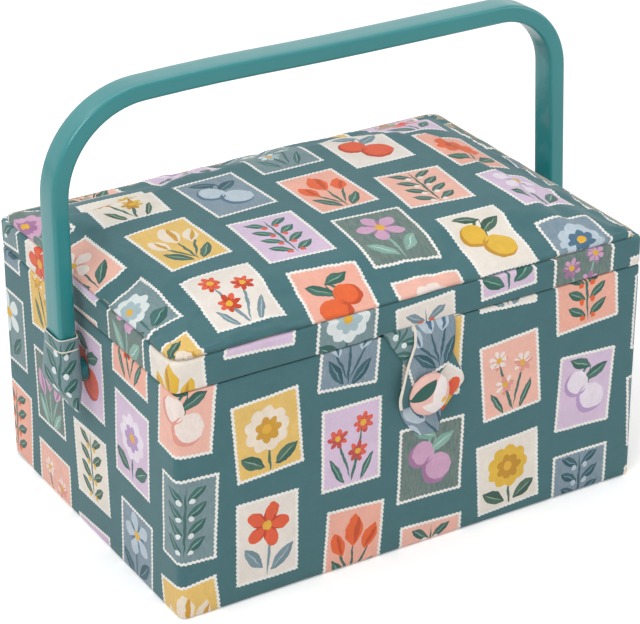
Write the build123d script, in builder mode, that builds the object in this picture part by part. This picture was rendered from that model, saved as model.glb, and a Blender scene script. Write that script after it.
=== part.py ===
"""Cloth-covered sewing box: a boarded base with a lift-out tray, a hinged padded lid,
a button and ribbon closure, and a plastic carrying handle whose ends sit in cloth sleeves.

The origin is the middle of the underside. X runs along the width, -Y is the front.
"""
from build123d import *
from math import asin, cos, radians, sin, tan
import os

os.makedirs("parts", exist_ok=True)

# Overall sizes of the closed box
box_width = 260.0
box_depth = 185.0
base_height = 120.0
skirt_height = 15.0
crown_height = 15.0
corner_radius = 3.6

# Sheet goods
cloth = 0.8
wall_board = 3.0
top_board = 2.5
pad_board_thickness = 1.5
underside_paper = 0.6

# Gaps between pieces
parting_gap = 0.4
soft_gap = 0.3
running_gap = 0.05
hole_gap = 0.2

# Inside of the base
rim_drop = 11.0
ledge_thickness = 4.0
floor_pad_thickness = 3.0
turn_under = 15.0
underside_inset = 6.0
edge_chamfer = 0.6

# Tray
tray_play = 1.4
tray_flange = 1.6
tray_depth = 32.0
tray_wall = 1.4
tray_draft = 3.0
tray_corner = 7.0
tray_row_gap = 4.6
tray_edge_gap = 3.4
front_row_share = 0.34
tray_columns = 3

# Lid
lid_edge_chamfer = 1.0
pad_inset = 1.5
pad_corner = 6.5
crown_reach = 80.0
crown_steps = 6
lining_thickness = 2.2
lining_play = 0.5
pocket_width = 150.0
pocket_depth = 92.0
pocket_thickness = 2.4
pocket_side_gap = 11.9
elastic_height = 8.0
elastic_extra = 0.8
pincushion_width = 56.0
pincushion_depth = 84.0
pincushion_height = 7.0
pincushion_side_gap = 14.9

# Cloth hinge along the back edge
strip_side_inset = 3.0
strip_reach = 10.0

# Closure, with its heights measured down from the top of the base
latch_x = 4.0
button_drop = 35.5
button_diameter = 22.0
button_dome = 4.6
button_rings = 3
button_back_thickness = 1.2
button_lip = 1.0
shank_diameter = 4.0
ribbon = 1.2
loop_top_half_width = 19.0
loop_half_width = 18.5
loop_shoulder_drop = 46.0
loop_tip_drop = 56.5
loop_slot_width = 8.0
loop_slot_height = 20.0
anchor_height = 8.0

# Handle: its pivot measured down from the top of the base, its bar up from the pivot
pivot_drop = 28.0
handle_reach = 133.6
leg_standoff = 11.1
leg_splay = 1.0
handle_lean = 1.7
bar_thickness = 8.8
bar_width = 15.0
bar_edge_chamfer = 1.2
bend_radius = 35.0
boss_diameter = 12.0
rivet_diameter = 4.0
rivet_head_diameter = 8.5
rivet_head_height = 1.5
washer_diameter = 10.0
washer_thickness = 1.0
peen_diameter = 6.0
peen_height = 0.8

# Cloth sleeves round the handle's ends, measured from the pivot
sleeve_below_pivot = 13.5
sleeve_above_pivot = 22.0
sleeve_bottom_width = 34.0
sleeve_bottom_thickness = 3.0
sleeve_waist_width = 27.0

# Levels and faces worked out from the sizes above
rim_z = base_height - parting_gap
base_board_z = underside_paper + cloth
floor_z = base_board_z + wall_board
wall_top_z = rim_z - cloth
ledge_z = rim_z - rim_drop
lid_top_z = base_height + skirt_height
pad_board_high_z = lid_top_z + pad_board_thickness
pad_width = box_width - 2 * pad_inset
pad_depth = box_depth - 2 * pad_inset
board_width = box_width - 2 * cloth
board_depth = box_depth - 2 * cloth
inner_width = board_width - 2 * wall_board
inner_depth = board_depth - 2 * wall_board
bay_width = inner_width - 2 * ledge_thickness
bay_depth = inner_depth - 2 * ledge_thickness
side_x = box_width / 2
front_y = -box_depth / 2
back_y = box_depth / 2
button_z = base_height - button_drop
pivot_z = base_height - pivot_drop
leg_half_span = side_x + leg_standoff


def save(piece, name):
    """Label a finished piece and write it under its own name."""
    piece.part.label = name
    export_step(piece.part, f"parts/{name}.step")


def mirrored_outline(plane, side):
    """A face on the given plane, from one side's points and their mirror image."""
    with BuildSketch(plane) as outline:
        with BuildLine():
            Polyline(*side, *[(-across, level) for across, level in reversed(side)], close=True)
        make_face()
    return outline.sketch


def crown_side(half_span, inset):
    """One side of the padded top's outline: upright past its board, then an elliptic rise."""
    side = [(half_span, lid_top_z)]
    for step in range(crown_steps + 1):
        angle = radians(90 * step / crown_steps)
        rise = (crown_height - pad_board_thickness - inset) * sin(angle)
        side.append((half_span - crown_reach * (1 - cos(angle)), pad_board_high_z + rise))
    return side


def pillow(inset):
    """The padded top's form, drawn in all round by an inset and crowned from all four sides."""
    with BuildPart() as form:
        with BuildSketch(Plane.XY.offset(lid_top_z)):
            RectangleRounded(pad_width - 2 * inset, pad_depth - 2 * inset, pad_corner - inset)
        extrude(amount=crown_height)
        across_width = mirrored_outline(Plane.XZ, crown_side(pad_width / 2 - inset, inset))
        extrude(across_width, amount=pad_depth, both=True, mode=Mode.INTERSECT)
        across_depth = mirrored_outline(Plane.YZ, crown_side(pad_depth / 2 - inset, inset))
        extrude(across_depth, amount=pad_width, both=True, mode=Mode.INTERSECT)
    return form.part


def through_hole(middle, diameter, normal, reach):
    """A round cutter that goes out from its middle by the same reach both ways."""
    with BuildPart() as cutter:
        with BuildSketch(Plane(origin=middle, z_dir=normal)):
            Circle(diameter / 2)
        extrude(amount=reach, both=True)
    return cutter.part


def tapered_tub(middle, width, depth, corner, top_z, height):
    """One compartment's form, which narrows downward by the tray's draft."""
    drawn_in = height * tan(radians(tray_draft))
    with BuildPart() as form:
        with BuildSketch(Plane.XY.offset(top_z)):
            with Locations(middle):
                RectangleRounded(width, depth, corner)
        with BuildSketch(Plane.XY.offset(top_z - height)):
            with Locations(middle):
                RectangleRounded(width - 2 * drawn_in, depth - 2 * drawn_in, corner)
        loft(ruled=True)
    return form.part


# Underside and the five boards of the base
with BuildPart() as base_underside:
    with BuildSketch():
        RectangleRounded(box_width - 2 * underside_inset, box_depth - 2 * underside_inset, corner_radius)
    extrude(amount=underside_paper)
save(base_underside, "base_underside")

with BuildPart() as base_bottom_board:
    with BuildSketch(Plane.XY.offset(base_board_z)):
        RectangleRounded(board_width, board_depth, corner_radius - cloth)
    extrude(amount=wall_board)
save(base_bottom_board, "base_bottom_board")

rivet_hole = rivet_diameter + 2 * hole_gap
shank_hole = shank_diameter + 2 * hole_gap
wall_reach = 2 * (wall_board + cloth)
shank_cutter = through_hole((latch_x, front_y, button_z), shank_hole, (0, -1, 0), wall_reach)
rivet_cutters = {
    facing: through_hole((facing * side_x, 0, pivot_z), rivet_hole, (1, 0, 0), wall_reach)
    for facing in (-1, 1)
}


def long_wall(facing, low_z, high_z):
    """A front or back board, its outer corners rounded to take the cloth."""
    with BuildPart() as wall:
        with BuildSketch(Plane.XY.offset(low_z)):
            RectangleRounded(board_width, board_depth, corner_radius - cloth)
            Rectangle(2 * board_width, inner_depth, mode=Mode.SUBTRACT)
            with Locations((0, -facing * board_depth)):
                Rectangle(2 * board_width, 2 * board_depth, mode=Mode.SUBTRACT)
        extrude(amount=high_z - low_z)
    return wall


def short_wall(facing, low_z, high_z):
    """A side board, butted between the front and back boards."""
    with BuildPart() as wall:
        with BuildSketch(Plane.XY.offset(low_z)):
            with Locations((facing * (inner_width + wall_board) / 2, 0)):
                Rectangle(wall_board, inner_depth)
        extrude(amount=high_z - low_z)
    return wall


for name, facing in (("front", -1), ("back", 1)):
    base_wall = long_wall(facing, floor_z, wall_top_z)
    if facing < 0:
        with base_wall:
            add(shank_cutter, mode=Mode.SUBTRACT)
    save(base_wall, f"base_{name}_board")

for name, facing in (("left", -1), ("right", 1)):
    base_wall = short_wall(facing, floor_z, wall_top_z)
    with base_wall:
        add(rivet_cutters[facing], mode=Mode.SUBTRACT)
    save(base_wall, f"base_{name}_board")

# Printed cloth round the base, turned under the bottom and over the rim
strip_width = box_width - 2 * strip_side_inset
strip_low_z = rim_z - strip_reach
strip_high_z = base_height + strip_reach

with BuildPart() as base_cover:
    with BuildSketch(Plane.XY.offset(underside_paper)):
        RectangleRounded(box_width, box_depth, corner_radius)
    extrude(amount=rim_z - underside_paper)
    chamfer(base_cover.faces().filter_by(Axis.Z).edges(), edge_chamfer)
    with BuildSketch(Plane.XY.offset(base_board_z)):
        RectangleRounded(board_width, board_depth, corner_radius - cloth)
    extrude(amount=wall_top_z - base_board_z, mode=Mode.SUBTRACT)
    with BuildSketch(Plane.XY.offset(ledge_z)):
        Rectangle(inner_width, inner_depth)
    extrude(amount=rim_z - ledge_z)
    with BuildSketch(Plane.XY.offset(ledge_z)):
        Rectangle(inner_width - 2 * cloth, inner_depth - 2 * cloth)
    extrude(amount=rim_z, mode=Mode.SUBTRACT)
    with BuildSketch():
        Rectangle(box_width - 2 * turn_under, box_depth - 2 * turn_under)
    extrude(amount=floor_z, mode=Mode.SUBTRACT)
    with BuildSketch(Plane.XY.offset(strip_low_z - soft_gap)):
        with Locations((0, back_y)):
            Rectangle(strip_width + 2 * soft_gap, 2 * cloth)
    extrude(amount=rim_z, mode=Mode.SUBTRACT)
    for cutter in (shank_cutter, *rivet_cutters.values()):
        add(cutter, mode=Mode.SUBTRACT)
save(base_cover, "base_cover")

# Lined panels inside the base: their tops are the ledge that the tray hangs on
relief_depth = washer_thickness + peen_height + soft_gap
relief = washer_diameter + 2 * soft_gap
button_washer_y = -inner_depth / 2

for name, facing in (("front", -1), ("back", 1)):
    with BuildPart() as panel:
        with BuildSketch(Plane.XY.offset(floor_z)):
            with Locations((0, facing * (inner_depth - ledge_thickness) / 2)):
                Rectangle(inner_width, ledge_thickness)
        extrude(amount=ledge_z - floor_z)
        if facing < 0:
            with BuildSketch(Plane(origin=(latch_x, button_washer_y, button_z), z_dir=(0, 1, 0))):
                Circle(relief / 2)
            extrude(amount=relief_depth, mode=Mode.SUBTRACT)
    save(panel, f"ledge_{name}_panel")

for name, facing in (("left", -1), ("right", 1)):
    with BuildPart() as panel:
        with BuildSketch(Plane.XY.offset(floor_z)):
            with Locations((facing * (inner_width - ledge_thickness) / 2, 0)):
                Rectangle(ledge_thickness, bay_depth)
        extrude(amount=ledge_z - floor_z)
        with BuildSketch(Plane(origin=(facing * inner_width / 2, 0, pivot_z), z_dir=(-facing, 0, 0))):
            Circle(relief / 2)
        extrude(amount=relief_depth, mode=Mode.SUBTRACT)
    save(panel, f"ledge_{name}_panel")

floor_pad_width = bay_width - 2 * soft_gap
floor_pad_depth = bay_depth - 2 * soft_gap
with BuildPart() as floor_pad:
    with BuildSketch(Plane.XY.offset(floor_z)):
        Rectangle(floor_pad_width, floor_pad_depth)
    extrude(amount=floor_pad_thickness)
    chamfer(floor_pad.faces().sort_by(Axis.Z)[-1].edges(), edge_chamfer)
save(floor_pad, "floor_pad")

# Moulded tray: one tapered tub per compartment, joined by a flange that rests on the ledge
flange_width = inner_width - 2 * cloth - 2 * tray_play
flange_depth = inner_depth - 2 * cloth - 2 * tray_play
tray_top_z = ledge_z + tray_flange
tubs_width = bay_width - 2 * tray_edge_gap
tubs_depth = bay_depth - 2 * tray_edge_gap
front_depth = front_row_share * (tubs_depth - tray_row_gap)
back_depth = tubs_depth - tray_row_gap - front_depth
column_width = (tubs_width - (tray_columns - 1) * tray_row_gap) / tray_columns
front_row_y = -tubs_depth / 2 + front_depth / 2
back_row_y = tubs_depth / 2 - back_depth / 2
tubs = [((0.0, front_row_y), tubs_width, front_depth)]
for column in range(tray_columns):
    column_x = (column - (tray_columns - 1) / 2) * (column_width + tray_row_gap)
    tubs.append(((column_x, back_row_y), column_width, back_depth))

with BuildPart() as tray:
    with BuildSketch(Plane.XY.offset(ledge_z)):
        RectangleRounded(flange_width, flange_depth, tray_corner)
    extrude(amount=tray_flange)
    for middle, tub_width, tub_depth in tubs:
        add(tapered_tub(middle, tub_width, tub_depth, tray_corner, tray_top_z, tray_depth))
    for middle, tub_width, tub_depth in tubs:
        add(tapered_tub(middle, tub_width - 2 * tray_wall, tub_depth - 2 * tray_wall,
                        tray_corner - tray_wall, tray_top_z, tray_depth - tray_wall),
            mode=Mode.SUBTRACT)
save(tray, "tray")

# Covered button: dome, back plate with its shank, and the washer inside the front board
loop_back_y = front_y - soft_gap
loop_front_y = loop_back_y - ribbon
plate_back_y = loop_front_y - 2 * soft_gap
button_plane = Plane(origin=(latch_x, plate_back_y, button_z), x_dir=(1, 0, 0), z_dir=(0, 0, 1))
button_axis = Axis((latch_x, 0, button_z), (0, -1, 0))
shell_radius = button_diameter / 2
plate_radius = shell_radius - button_lip
shell_high = button_back_thickness + button_dome
dome_radius = (shell_radius ** 2 + button_dome ** 2) / (2 * button_dome)
ring_angle = asin(shell_radius / dome_radius) / button_rings
dome_rings = [
    (dome_radius * sin(ring * ring_angle), dome_radius * (1 - cos(ring * ring_angle)) - shell_high)
    for ring in range(button_rings, -1, -1)
]

with BuildPart() as button_shell:
    with BuildSketch(button_plane):
        with BuildLine():
            Polyline((0, -button_back_thickness), (plate_radius, -button_back_thickness),
                     (plate_radius, 0), (shell_radius, 0), *dome_rings, close=True)
        make_face()
    revolve(axis=button_axis)
save(button_shell, "button_shell")

with BuildPart() as button_shank:
    with BuildSketch(Plane(origin=(latch_x, plate_back_y, button_z), z_dir=(0, -1, 0))):
        Circle(plate_radius)
    extrude(amount=button_back_thickness)
    with BuildSketch(Plane(origin=(latch_x, plate_back_y, button_z), z_dir=(0, 1, 0))):
        Circle(shank_diameter / 2)
    extrude(amount=button_washer_y + washer_thickness - plate_back_y)
    peen_y = button_washer_y + washer_thickness
    with BuildSketch(Plane(origin=(latch_x, peen_y, button_z), z_dir=(0, 1, 0))):
        Circle(peen_diameter / 2)
    extrude(amount=peen_height)
save(button_shank, "button_shank")

with BuildPart() as button_washer:
    with BuildSketch(Plane(origin=(latch_x, button_washer_y, button_z), z_dir=(0, 1, 0))):
        Circle(washer_diameter / 2)
        Circle(shank_diameter / 2, mode=Mode.SUBTRACT)
    extrude(amount=washer_thickness)
save(button_washer, "button_washer")

# Lid boards and the cloth round the skirt
lid_board_z = base_height + cloth
top_board_high_z = lid_top_z - cloth
top_board_low_z = top_board_high_z - top_board
notch_half_width = loop_top_half_width + soft_gap
notch_z = lid_board_z + ribbon

with BuildPart() as lid_top_board:
    with BuildSketch(Plane.XY.offset(top_board_low_z)):
        RectangleRounded(board_width, board_depth, corner_radius - cloth)
    extrude(amount=top_board)
    chamfer(lid_top_board.faces().sort_by(Axis.Z)[-1].edges(), edge_chamfer)
save(lid_top_board, "lid_top_board")

with BuildPart() as ribbon_notch:
    with BuildSketch(Plane.XY.offset(base_height)):
        with Locations((latch_x, front_y)):
            Rectangle(2 * notch_half_width, 4 * (wall_board + cloth))
    extrude(amount=notch_z - base_height)

for name, facing in (("front", -1), ("back", 1)):
    lid_wall = long_wall(facing, lid_board_z, top_board_low_z)
    if facing < 0:
        with lid_wall:
            add(ribbon_notch.part, mode=Mode.SUBTRACT)
    save(lid_wall, f"lid_{name}_board")

for name, facing in (("left", -1), ("right", 1)):
    save(short_wall(facing, lid_board_z, top_board_low_z), f"lid_{name}_board")

with BuildPart() as lid_skirt_cover:
    with BuildSketch(Plane.XY.offset(base_height)):
        RectangleRounded(box_width, box_depth, corner_radius)
    extrude(amount=skirt_height)
    chamfer(lid_skirt_cover.faces().sort_by(Axis.Z)[-1].edges(), lid_edge_chamfer)
    with BuildSketch(Plane.XY.offset(lid_board_z)):
        RectangleRounded(board_width, board_depth, corner_radius - cloth)
    extrude(amount=top_board_high_z - lid_board_z, mode=Mode.SUBTRACT)
    with BuildSketch(Plane.XY.offset(base_height)):
        Rectangle(inner_width, inner_depth)
    extrude(amount=top_board_low_z - base_height)
    with BuildSketch(Plane.XY.offset(base_height)):
        Rectangle(inner_width - 2 * cloth, inner_depth - 2 * cloth)
    extrude(amount=top_board_low_z - base_height, mode=Mode.SUBTRACT)
    with BuildSketch(Plane.XY.offset(top_board_high_z)):
        Rectangle(box_width - 2 * turn_under, box_depth - 2 * turn_under)
    extrude(amount=2 * cloth, mode=Mode.SUBTRACT)
    with BuildSketch(Plane.XY.offset(base_height)):
        with Locations((0, back_y)):
            Rectangle(strip_width + 2 * soft_gap, 2 * cloth)
    extrude(amount=strip_high_z + soft_gap - base_height, mode=Mode.SUBTRACT)
    add(ribbon_notch.part, mode=Mode.SUBTRACT)
save(lid_skirt_cover, "lid_skirt_cover")

# Padded top: its own thin board, foam crowned over it, and the printed cloth

with BuildPart() as pad_board:
    with BuildSketch(Plane.XY.offset(lid_top_z)):
        RectangleRounded(pad_width - 2 * cloth, pad_depth - 2 * cloth, pad_corner - cloth)
    extrude(amount=pad_board_thickness)
save(pad_board, "pad_board")

with BuildPart() as pad_cover:
    add(pillow(0.0))
    add(pillow(cloth), mode=Mode.SUBTRACT)
save(pad_cover, "pad_cover")

with BuildPart() as pad_foam:
    add(pillow(cloth + soft_gap))
    split(bisect_by=Plane.XY.offset(pad_board_high_z), keep=Keep.TOP)
save(pad_foam, "pad_foam")

# Inside of the lid: lined panel, gathered pocket with its elastic, and the pincushion
lining_z = top_board_low_z - lining_thickness
lining_width = inner_width - 2 * cloth - 2 * lining_play
lining_depth = inner_depth - 2 * cloth - 2 * lining_play
pocket_x = lining_width / 2 - pocket_side_gap - pocket_width / 2
pincushion_x = pincushion_side_gap + pincushion_width / 2 - lining_width / 2

with BuildPart() as lid_lining:
    with BuildSketch(Plane.XY.offset(lining_z)):
        Rectangle(lining_width, lining_depth)
    extrude(amount=lining_thickness)
save(lid_lining, "lid_lining")

pocket_mouth_y = -pocket_depth / 2
with BuildPart() as lid_pocket:
    with BuildSketch(Plane.XY.offset(lining_z)):
        with Locations((pocket_x, elastic_height / 2)):
            Rectangle(pocket_width, pocket_depth - elastic_height)
    extrude(amount=-pocket_thickness)
save(lid_pocket, "lid_pocket")

with BuildPart() as pocket_elastic:
    with BuildSketch(Plane.XY.offset(lining_z)):
        with Locations((pocket_x, pocket_mouth_y + elastic_height / 2)):
            Rectangle(pocket_width, elastic_height)
    extrude(amount=-(pocket_thickness + elastic_extra))
save(pocket_elastic, "pocket_elastic")

with BuildPart() as pincushion:
    with BuildSketch(Plane.XY.offset(lining_z)):
        with Locations((pincushion_x, 0)):
            RectangleRounded(pincushion_width, pincushion_depth, pincushion_width / 3)
    extrude(amount=-pincushion_height)
    chamfer(pincushion.faces().sort_by(Axis.Z)[0].edges(), pincushion_height / 2)
save(pincushion, "pincushion")

# Cloth hinge: one strip of the printed cloth across the parting line at the back
with BuildPart() as hinge_strip:
    with BuildSketch(Plane.XY.offset(strip_low_z)):
        with Locations((0, back_y - cloth / 2)):
            Rectangle(strip_width, cloth)
    extrude(amount=strip_high_z - strip_low_z)
save(hinge_strip, "hinge_strip")

# Ribbon loop that slips over the button, and its end glued inside the lid's front board
loop_plane = Plane(origin=(latch_x, loop_back_y, 0), x_dir=(1, 0, 0), z_dir=(0, -1, 0))
loop_top_z = base_height - soft_gap / 2
loop_shoulder_z = base_height - loop_shoulder_drop
loop_tip_z = base_height - loop_tip_drop

with BuildPart() as latch_loop:
    with BuildSketch(loop_plane):
        with BuildLine():
            Polyline((-loop_top_half_width, loop_top_z), (-loop_half_width, loop_shoulder_z),
                     (0, loop_tip_z), (loop_half_width, loop_shoulder_z),
                     (loop_top_half_width, loop_top_z), close=True)
        make_face()
        with Locations((0, button_z)):
            SlotOverall(loop_slot_height, loop_slot_width, rotation=90, mode=Mode.SUBTRACT)
    extrude(amount=ribbon)
save(latch_loop, "latch_loop")

anchor_depth = front_y + cloth + wall_board + cloth
with BuildPart() as latch_anchor:
    with BuildSketch(Plane.XY.offset(loop_top_z)):
        with Locations((latch_x, (loop_front_y + anchor_depth + ribbon) / 2)):
            Rectangle(2 * loop_top_half_width, anchor_depth + ribbon - loop_front_y)
    extrude(amount=ribbon)
    with BuildSketch(Plane.XY.offset(loop_top_z)):
        with Locations((latch_x, anchor_depth + ribbon / 2)):
            Rectangle(2 * loop_top_half_width, ribbon)
    extrude(amount=anchor_height)
save(latch_anchor, "latch_anchor")

# Handle: one bent bar that leans back a little, with an eye and a boss at each end
lean = radians(handle_lean)
splay = radians(leg_splay)
handle_plane = Plane(origin=(0, 0, pivot_z), x_dir=(1, 0, 0), z_dir=(0, -cos(lean), sin(lean)))
bar_rise = handle_reach / cos(lean)
bar_half_span = leg_half_span - bar_rise * tan(splay)
leg_outer_x = leg_half_span + bar_thickness / 2
boss_inner_x = side_x + soft_gap
pivot_hole = rivet_diameter + 2 * running_gap
pivot_hole_reach = leg_standoff + bar_thickness

with BuildPart() as handle:
    with BuildLine(handle_plane) as bar_line:
        FilletPolyline((-leg_half_span, 0), (-bar_half_span, bar_rise),
                       (bar_half_span, bar_rise), (leg_half_span, 0), radius=bend_radius)
    bar_start = Plane(origin=bar_line.line @ 0, x_dir=handle_plane.z_dir, z_dir=bar_line.line % 0)
    with BuildSketch(bar_start) as bar_section:
        Rectangle(bar_width, bar_thickness)
        chamfer(bar_section.vertices(), bar_edge_chamfer)
    sweep(path=bar_line.line)
    for facing in (-1, 1):
        eye_normal = (facing * cos(splay), 0, sin(splay))
        with BuildSketch(Plane(origin=(facing * leg_half_span, 0, pivot_z), z_dir=eye_normal)):
            Circle(bar_width / 2)
        extrude(amount=bar_thickness / 2, both=True)
        with BuildSketch(Plane(origin=(facing * boss_inner_x, 0, pivot_z), z_dir=(facing, 0, 0))):
            Circle(boss_diameter / 2)
        extrude(amount=leg_half_span - boss_inner_x)
        add(through_hole((facing * leg_half_span, 0, pivot_z), pivot_hole, (1, 0, 0),
                         pivot_hole_reach), mode=Mode.SUBTRACT)
save(handle, "handle")

# Rivets that the handle turns on, with their washers inside the side boards
rivet_head_x = leg_outer_x + soft_gap
for name, facing in (("left", -1), ("right", 1)):
    washer_plane = Plane(origin=(facing * inner_width / 2, 0, pivot_z), z_dir=(-facing, 0, 0))
    head_plane = Plane(origin=(facing * rivet_head_x, 0, pivot_z), z_dir=(facing, 0, 0))
    with BuildPart() as rivet:
        with BuildSketch(head_plane):
            Circle(rivet_diameter / 2)
        extrude(amount=-(rivet_head_x - inner_width / 2 + washer_thickness))
        with BuildSketch(head_plane):
            Circle(rivet_head_diameter / 2)
        extrude(amount=rivet_head_height)
        with BuildSketch(washer_plane.offset(washer_thickness)):
            Circle(peen_diameter / 2)
        extrude(amount=peen_height)
    save(rivet, f"handle_rivet_{name}")

    with BuildPart() as washer:
        with BuildSketch(washer_plane):
            Circle(washer_diameter / 2)
            Circle(rivet_diameter / 2, mode=Mode.SUBTRACT)
        extrude(amount=washer_thickness)
    save(washer, f"rivet_washer_{name}")

# Sleeves: flat at the stitched bottom, swelling to go round the rivet and the leg
sleeve_bottom_z = pivot_z - sleeve_below_pivot
sleeve_mouth_z = pivot_z + sleeve_above_pivot
mouth_middle_x = leg_half_span - sleeve_above_pivot * tan(splay)
leg_play_x = soft_gap + sleeve_above_pivot * tan(splay)
leg_play_y = soft_gap + sleeve_above_pivot * tan(lean)
hollow_thickness = bar_thickness + 2 * leg_play_x
hollow_width = bar_width + 2 * leg_play_y
hollow_low_z = pivot_z - bar_width / 2 - soft_gap
head_hollow_x = rivet_head_x + rivet_head_height + soft_gap
waist_inner_x = leg_half_span - hollow_thickness / 2 - cloth
waist_outer_x = head_hollow_x + cloth
mouth_half_thickness = hollow_thickness / 2 + cloth
sleeve_outer = [(leg_half_span + sleeve_bottom_thickness / 2, sleeve_bottom_z),
                (waist_outer_x, pivot_z), (mouth_middle_x + mouth_half_thickness, sleeve_mouth_z)]
sleeve_inner = [(mouth_middle_x - mouth_half_thickness, sleeve_mouth_z),
                (waist_inner_x, pivot_z), (leg_half_span - sleeve_bottom_thickness / 2, sleeve_bottom_z)]
sleeve_edge = [(sleeve_bottom_width / 2, sleeve_bottom_z), (sleeve_waist_width / 2, pivot_z),
               (hollow_width / 2 + cloth, sleeve_mouth_z)]

for name, facing in (("left", -1), ("right", 1)):
    with BuildPart() as sleeve:
        with BuildSketch(Plane.XZ):
            with BuildLine():
                Polyline(*[(facing * x, z) for x, z in sleeve_outer + sleeve_inner], close=True)
            make_face()
        extrude(amount=sleeve_bottom_width, both=True)
        edges_face = mirrored_outline(Plane.YZ, sleeve_edge)
        extrude(edges_face, amount=2 * leg_half_span, both=True, mode=Mode.INTERSECT)
        with BuildSketch(Plane.XY.offset(hollow_low_z)):
            with Locations((facing * leg_half_span, 0)):
                Rectangle(hollow_thickness, hollow_width)
        extrude(amount=sleeve_mouth_z, mode=Mode.SUBTRACT)
        leg_middle = Plane(origin=(facing * leg_half_span, 0, pivot_z), z_dir=(facing, 0, 0))
        with BuildSketch(leg_middle):
            Circle(rivet_head_diameter / 2 + soft_gap)
        extrude(amount=head_hollow_x - leg_half_span, mode=Mode.SUBTRACT)
        with BuildSketch(leg_middle):
            Circle(boss_diameter / 2 + soft_gap)
        extrude(amount=side_x - leg_half_span, mode=Mode.SUBTRACT)
    save(sleeve, f"sleeve_{name}")
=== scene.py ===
# %% [markdown]
# # Dressing a cloth-covered sewing box
# The boards, tray, rivets and joints come from a measured model, loaded here as a fixed frame.
# Blender adds what the solids leave out: printed cotton, a padded lid, a soft ribbon, a quilted
# lining and the gloss of moulded plastic. Lengths are metres, written as millimetres times MM.

# %% Load the measured frame
from math import atan2, ceil, copysign, cos, exp, hypot, pi, radians, sin, sqrt, tan

import bmesh
import bpy
from mathutils import Matrix, Vector, noise


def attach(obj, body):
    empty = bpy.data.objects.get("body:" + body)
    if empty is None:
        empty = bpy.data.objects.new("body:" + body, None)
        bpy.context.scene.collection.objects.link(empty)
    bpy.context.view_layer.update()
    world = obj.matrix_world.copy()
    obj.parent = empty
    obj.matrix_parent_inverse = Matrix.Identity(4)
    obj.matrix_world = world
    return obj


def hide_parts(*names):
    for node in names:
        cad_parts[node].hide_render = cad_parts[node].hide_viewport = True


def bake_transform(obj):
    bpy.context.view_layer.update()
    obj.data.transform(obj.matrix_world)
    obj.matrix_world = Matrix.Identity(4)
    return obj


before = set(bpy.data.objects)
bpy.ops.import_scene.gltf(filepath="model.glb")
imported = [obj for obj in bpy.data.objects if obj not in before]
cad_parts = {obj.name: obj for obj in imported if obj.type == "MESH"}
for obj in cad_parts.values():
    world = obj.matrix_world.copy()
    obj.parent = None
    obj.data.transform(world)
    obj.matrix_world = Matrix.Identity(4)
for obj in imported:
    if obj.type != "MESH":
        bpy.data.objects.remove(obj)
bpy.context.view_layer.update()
MM = 0.001

# %% [markdown]
# ## The camera
# A photograph fixes its camera by the box's own corners: their places in the picture give the
# direction, the distance and the lens. The same camera here lets the two pictures be compared.

# %% Set up the camera
CAMERA_PLACE = Vector((-0.56503, -0.94993, 0.64917))
CAMERA_TURN, CAMERA_RISE, CAMERA_ROLL = radians(-30.783), radians(26.939), radians(-0.241)
LENS_MM, SENSOR_MM = 138.97, 36


def add_object(name, data):
    thing = bpy.data.objects.new(name, data)
    bpy.context.scene.collection.objects.link(thing)
    return thing


camera = add_object("camera", bpy.data.cameras.new("camera"))
level = Vector((cos(CAMERA_TURN), sin(CAMERA_TURN), 0))
back = Vector((level.y * cos(CAMERA_RISE), -level.x * cos(CAMERA_RISE), sin(CAMERA_RISE)))
upright = back.cross(level)
right = level * cos(CAMERA_ROLL) + upright * sin(CAMERA_ROLL)
upward = upright * cos(CAMERA_ROLL) - level * sin(CAMERA_ROLL)
camera.matrix_world = Matrix((right, upward, back)).transposed().to_4x4()
camera.location = CAMERA_PLACE
camera.data.lens, camera.data.sensor_width, camera.data.clip_start = LENS_MM, SENSOR_MM, 0.05
bpy.context.scene.camera = camera
bpy.context.scene.view_settings.view_transform = "Standard"
print("camera at", [round(x, 3) for x in CAMERA_PLACE])

# %% [markdown]
# ## Sums inside a material
# A pattern is arithmetic on a place on the cloth. Blender does arithmetic with nodes, and a small
# wrapper lets the sums be written as ordinary formulas, which add those nodes as they go.

# %% A number on its way through a node tree
class Wire:
    """The output of a node. Sums with it add the nodes that work them out."""

    def __init__(self, node, output=0):
        self.tree, self.socket = node.id_data, node.outputs[output]

    def __add__(self, other):
        return sums("ADD", self, other)

    def __sub__(self, other):
        return sums("SUBTRACT", self, other)

    def __mul__(self, other):
        return sums("MULTIPLY", self, other)


def paint(code):
    """A colour written as on a paint chart, turned into the linear values Blender mixes."""
    steps = [int(code[i:i + 2], 16) / 255 for i in (0, 2, 4)]
    return (*[c / 12.92 if c <= 0.04045 else ((c + 0.055) / 1.055) ** 2.4 for c in steps], 1.0)


def join_up(value, socket):
    """Feeds a socket: a wire is linked, and a number or a paint code is set."""
    if isinstance(value, Wire):
        value.tree.links.new(value.socket, socket)
    else:
        socket.default_value = paint(value) if isinstance(value, str) else value


def add_node(tree, kind, feeds=None, **options):
    """A new node, its options set and its inputs fed."""
    node = tree.nodes.new("ShaderNode" + kind)
    for label, option in options.items():
        setattr(node, label, option)
    for label, value in (feeds or {}).items():
        join_up(value, node.inputs[label])
    return node


def fed(kind, *values, **options):
    """A node fed with values in the order of its inputs, at least one of them a wire."""
    tree = next(v.tree for v in values if isinstance(v, Wire))
    return add_node(tree, kind, dict(enumerate(values)), **options)


def sums(operation, *values):
    return Wire(fed("Math", *values, operation=operation))


def below(a, b):
    return sums("LESS_THAN", a, b)


def size_of(a):
    return sums("ABSOLUTE", a)


def remainder(a):
    return sums("FRACT", a)


def either(*masks):
    total = masks[0]
    for mask in masks[1:]:
        total = sums("MAXIMUM", total, mask)
    return total


def split(wire, kind="XYZ"):
    node = fed("Separate" + kind, wire)
    return [Wire(node, i) for i in range(3)]


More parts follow.
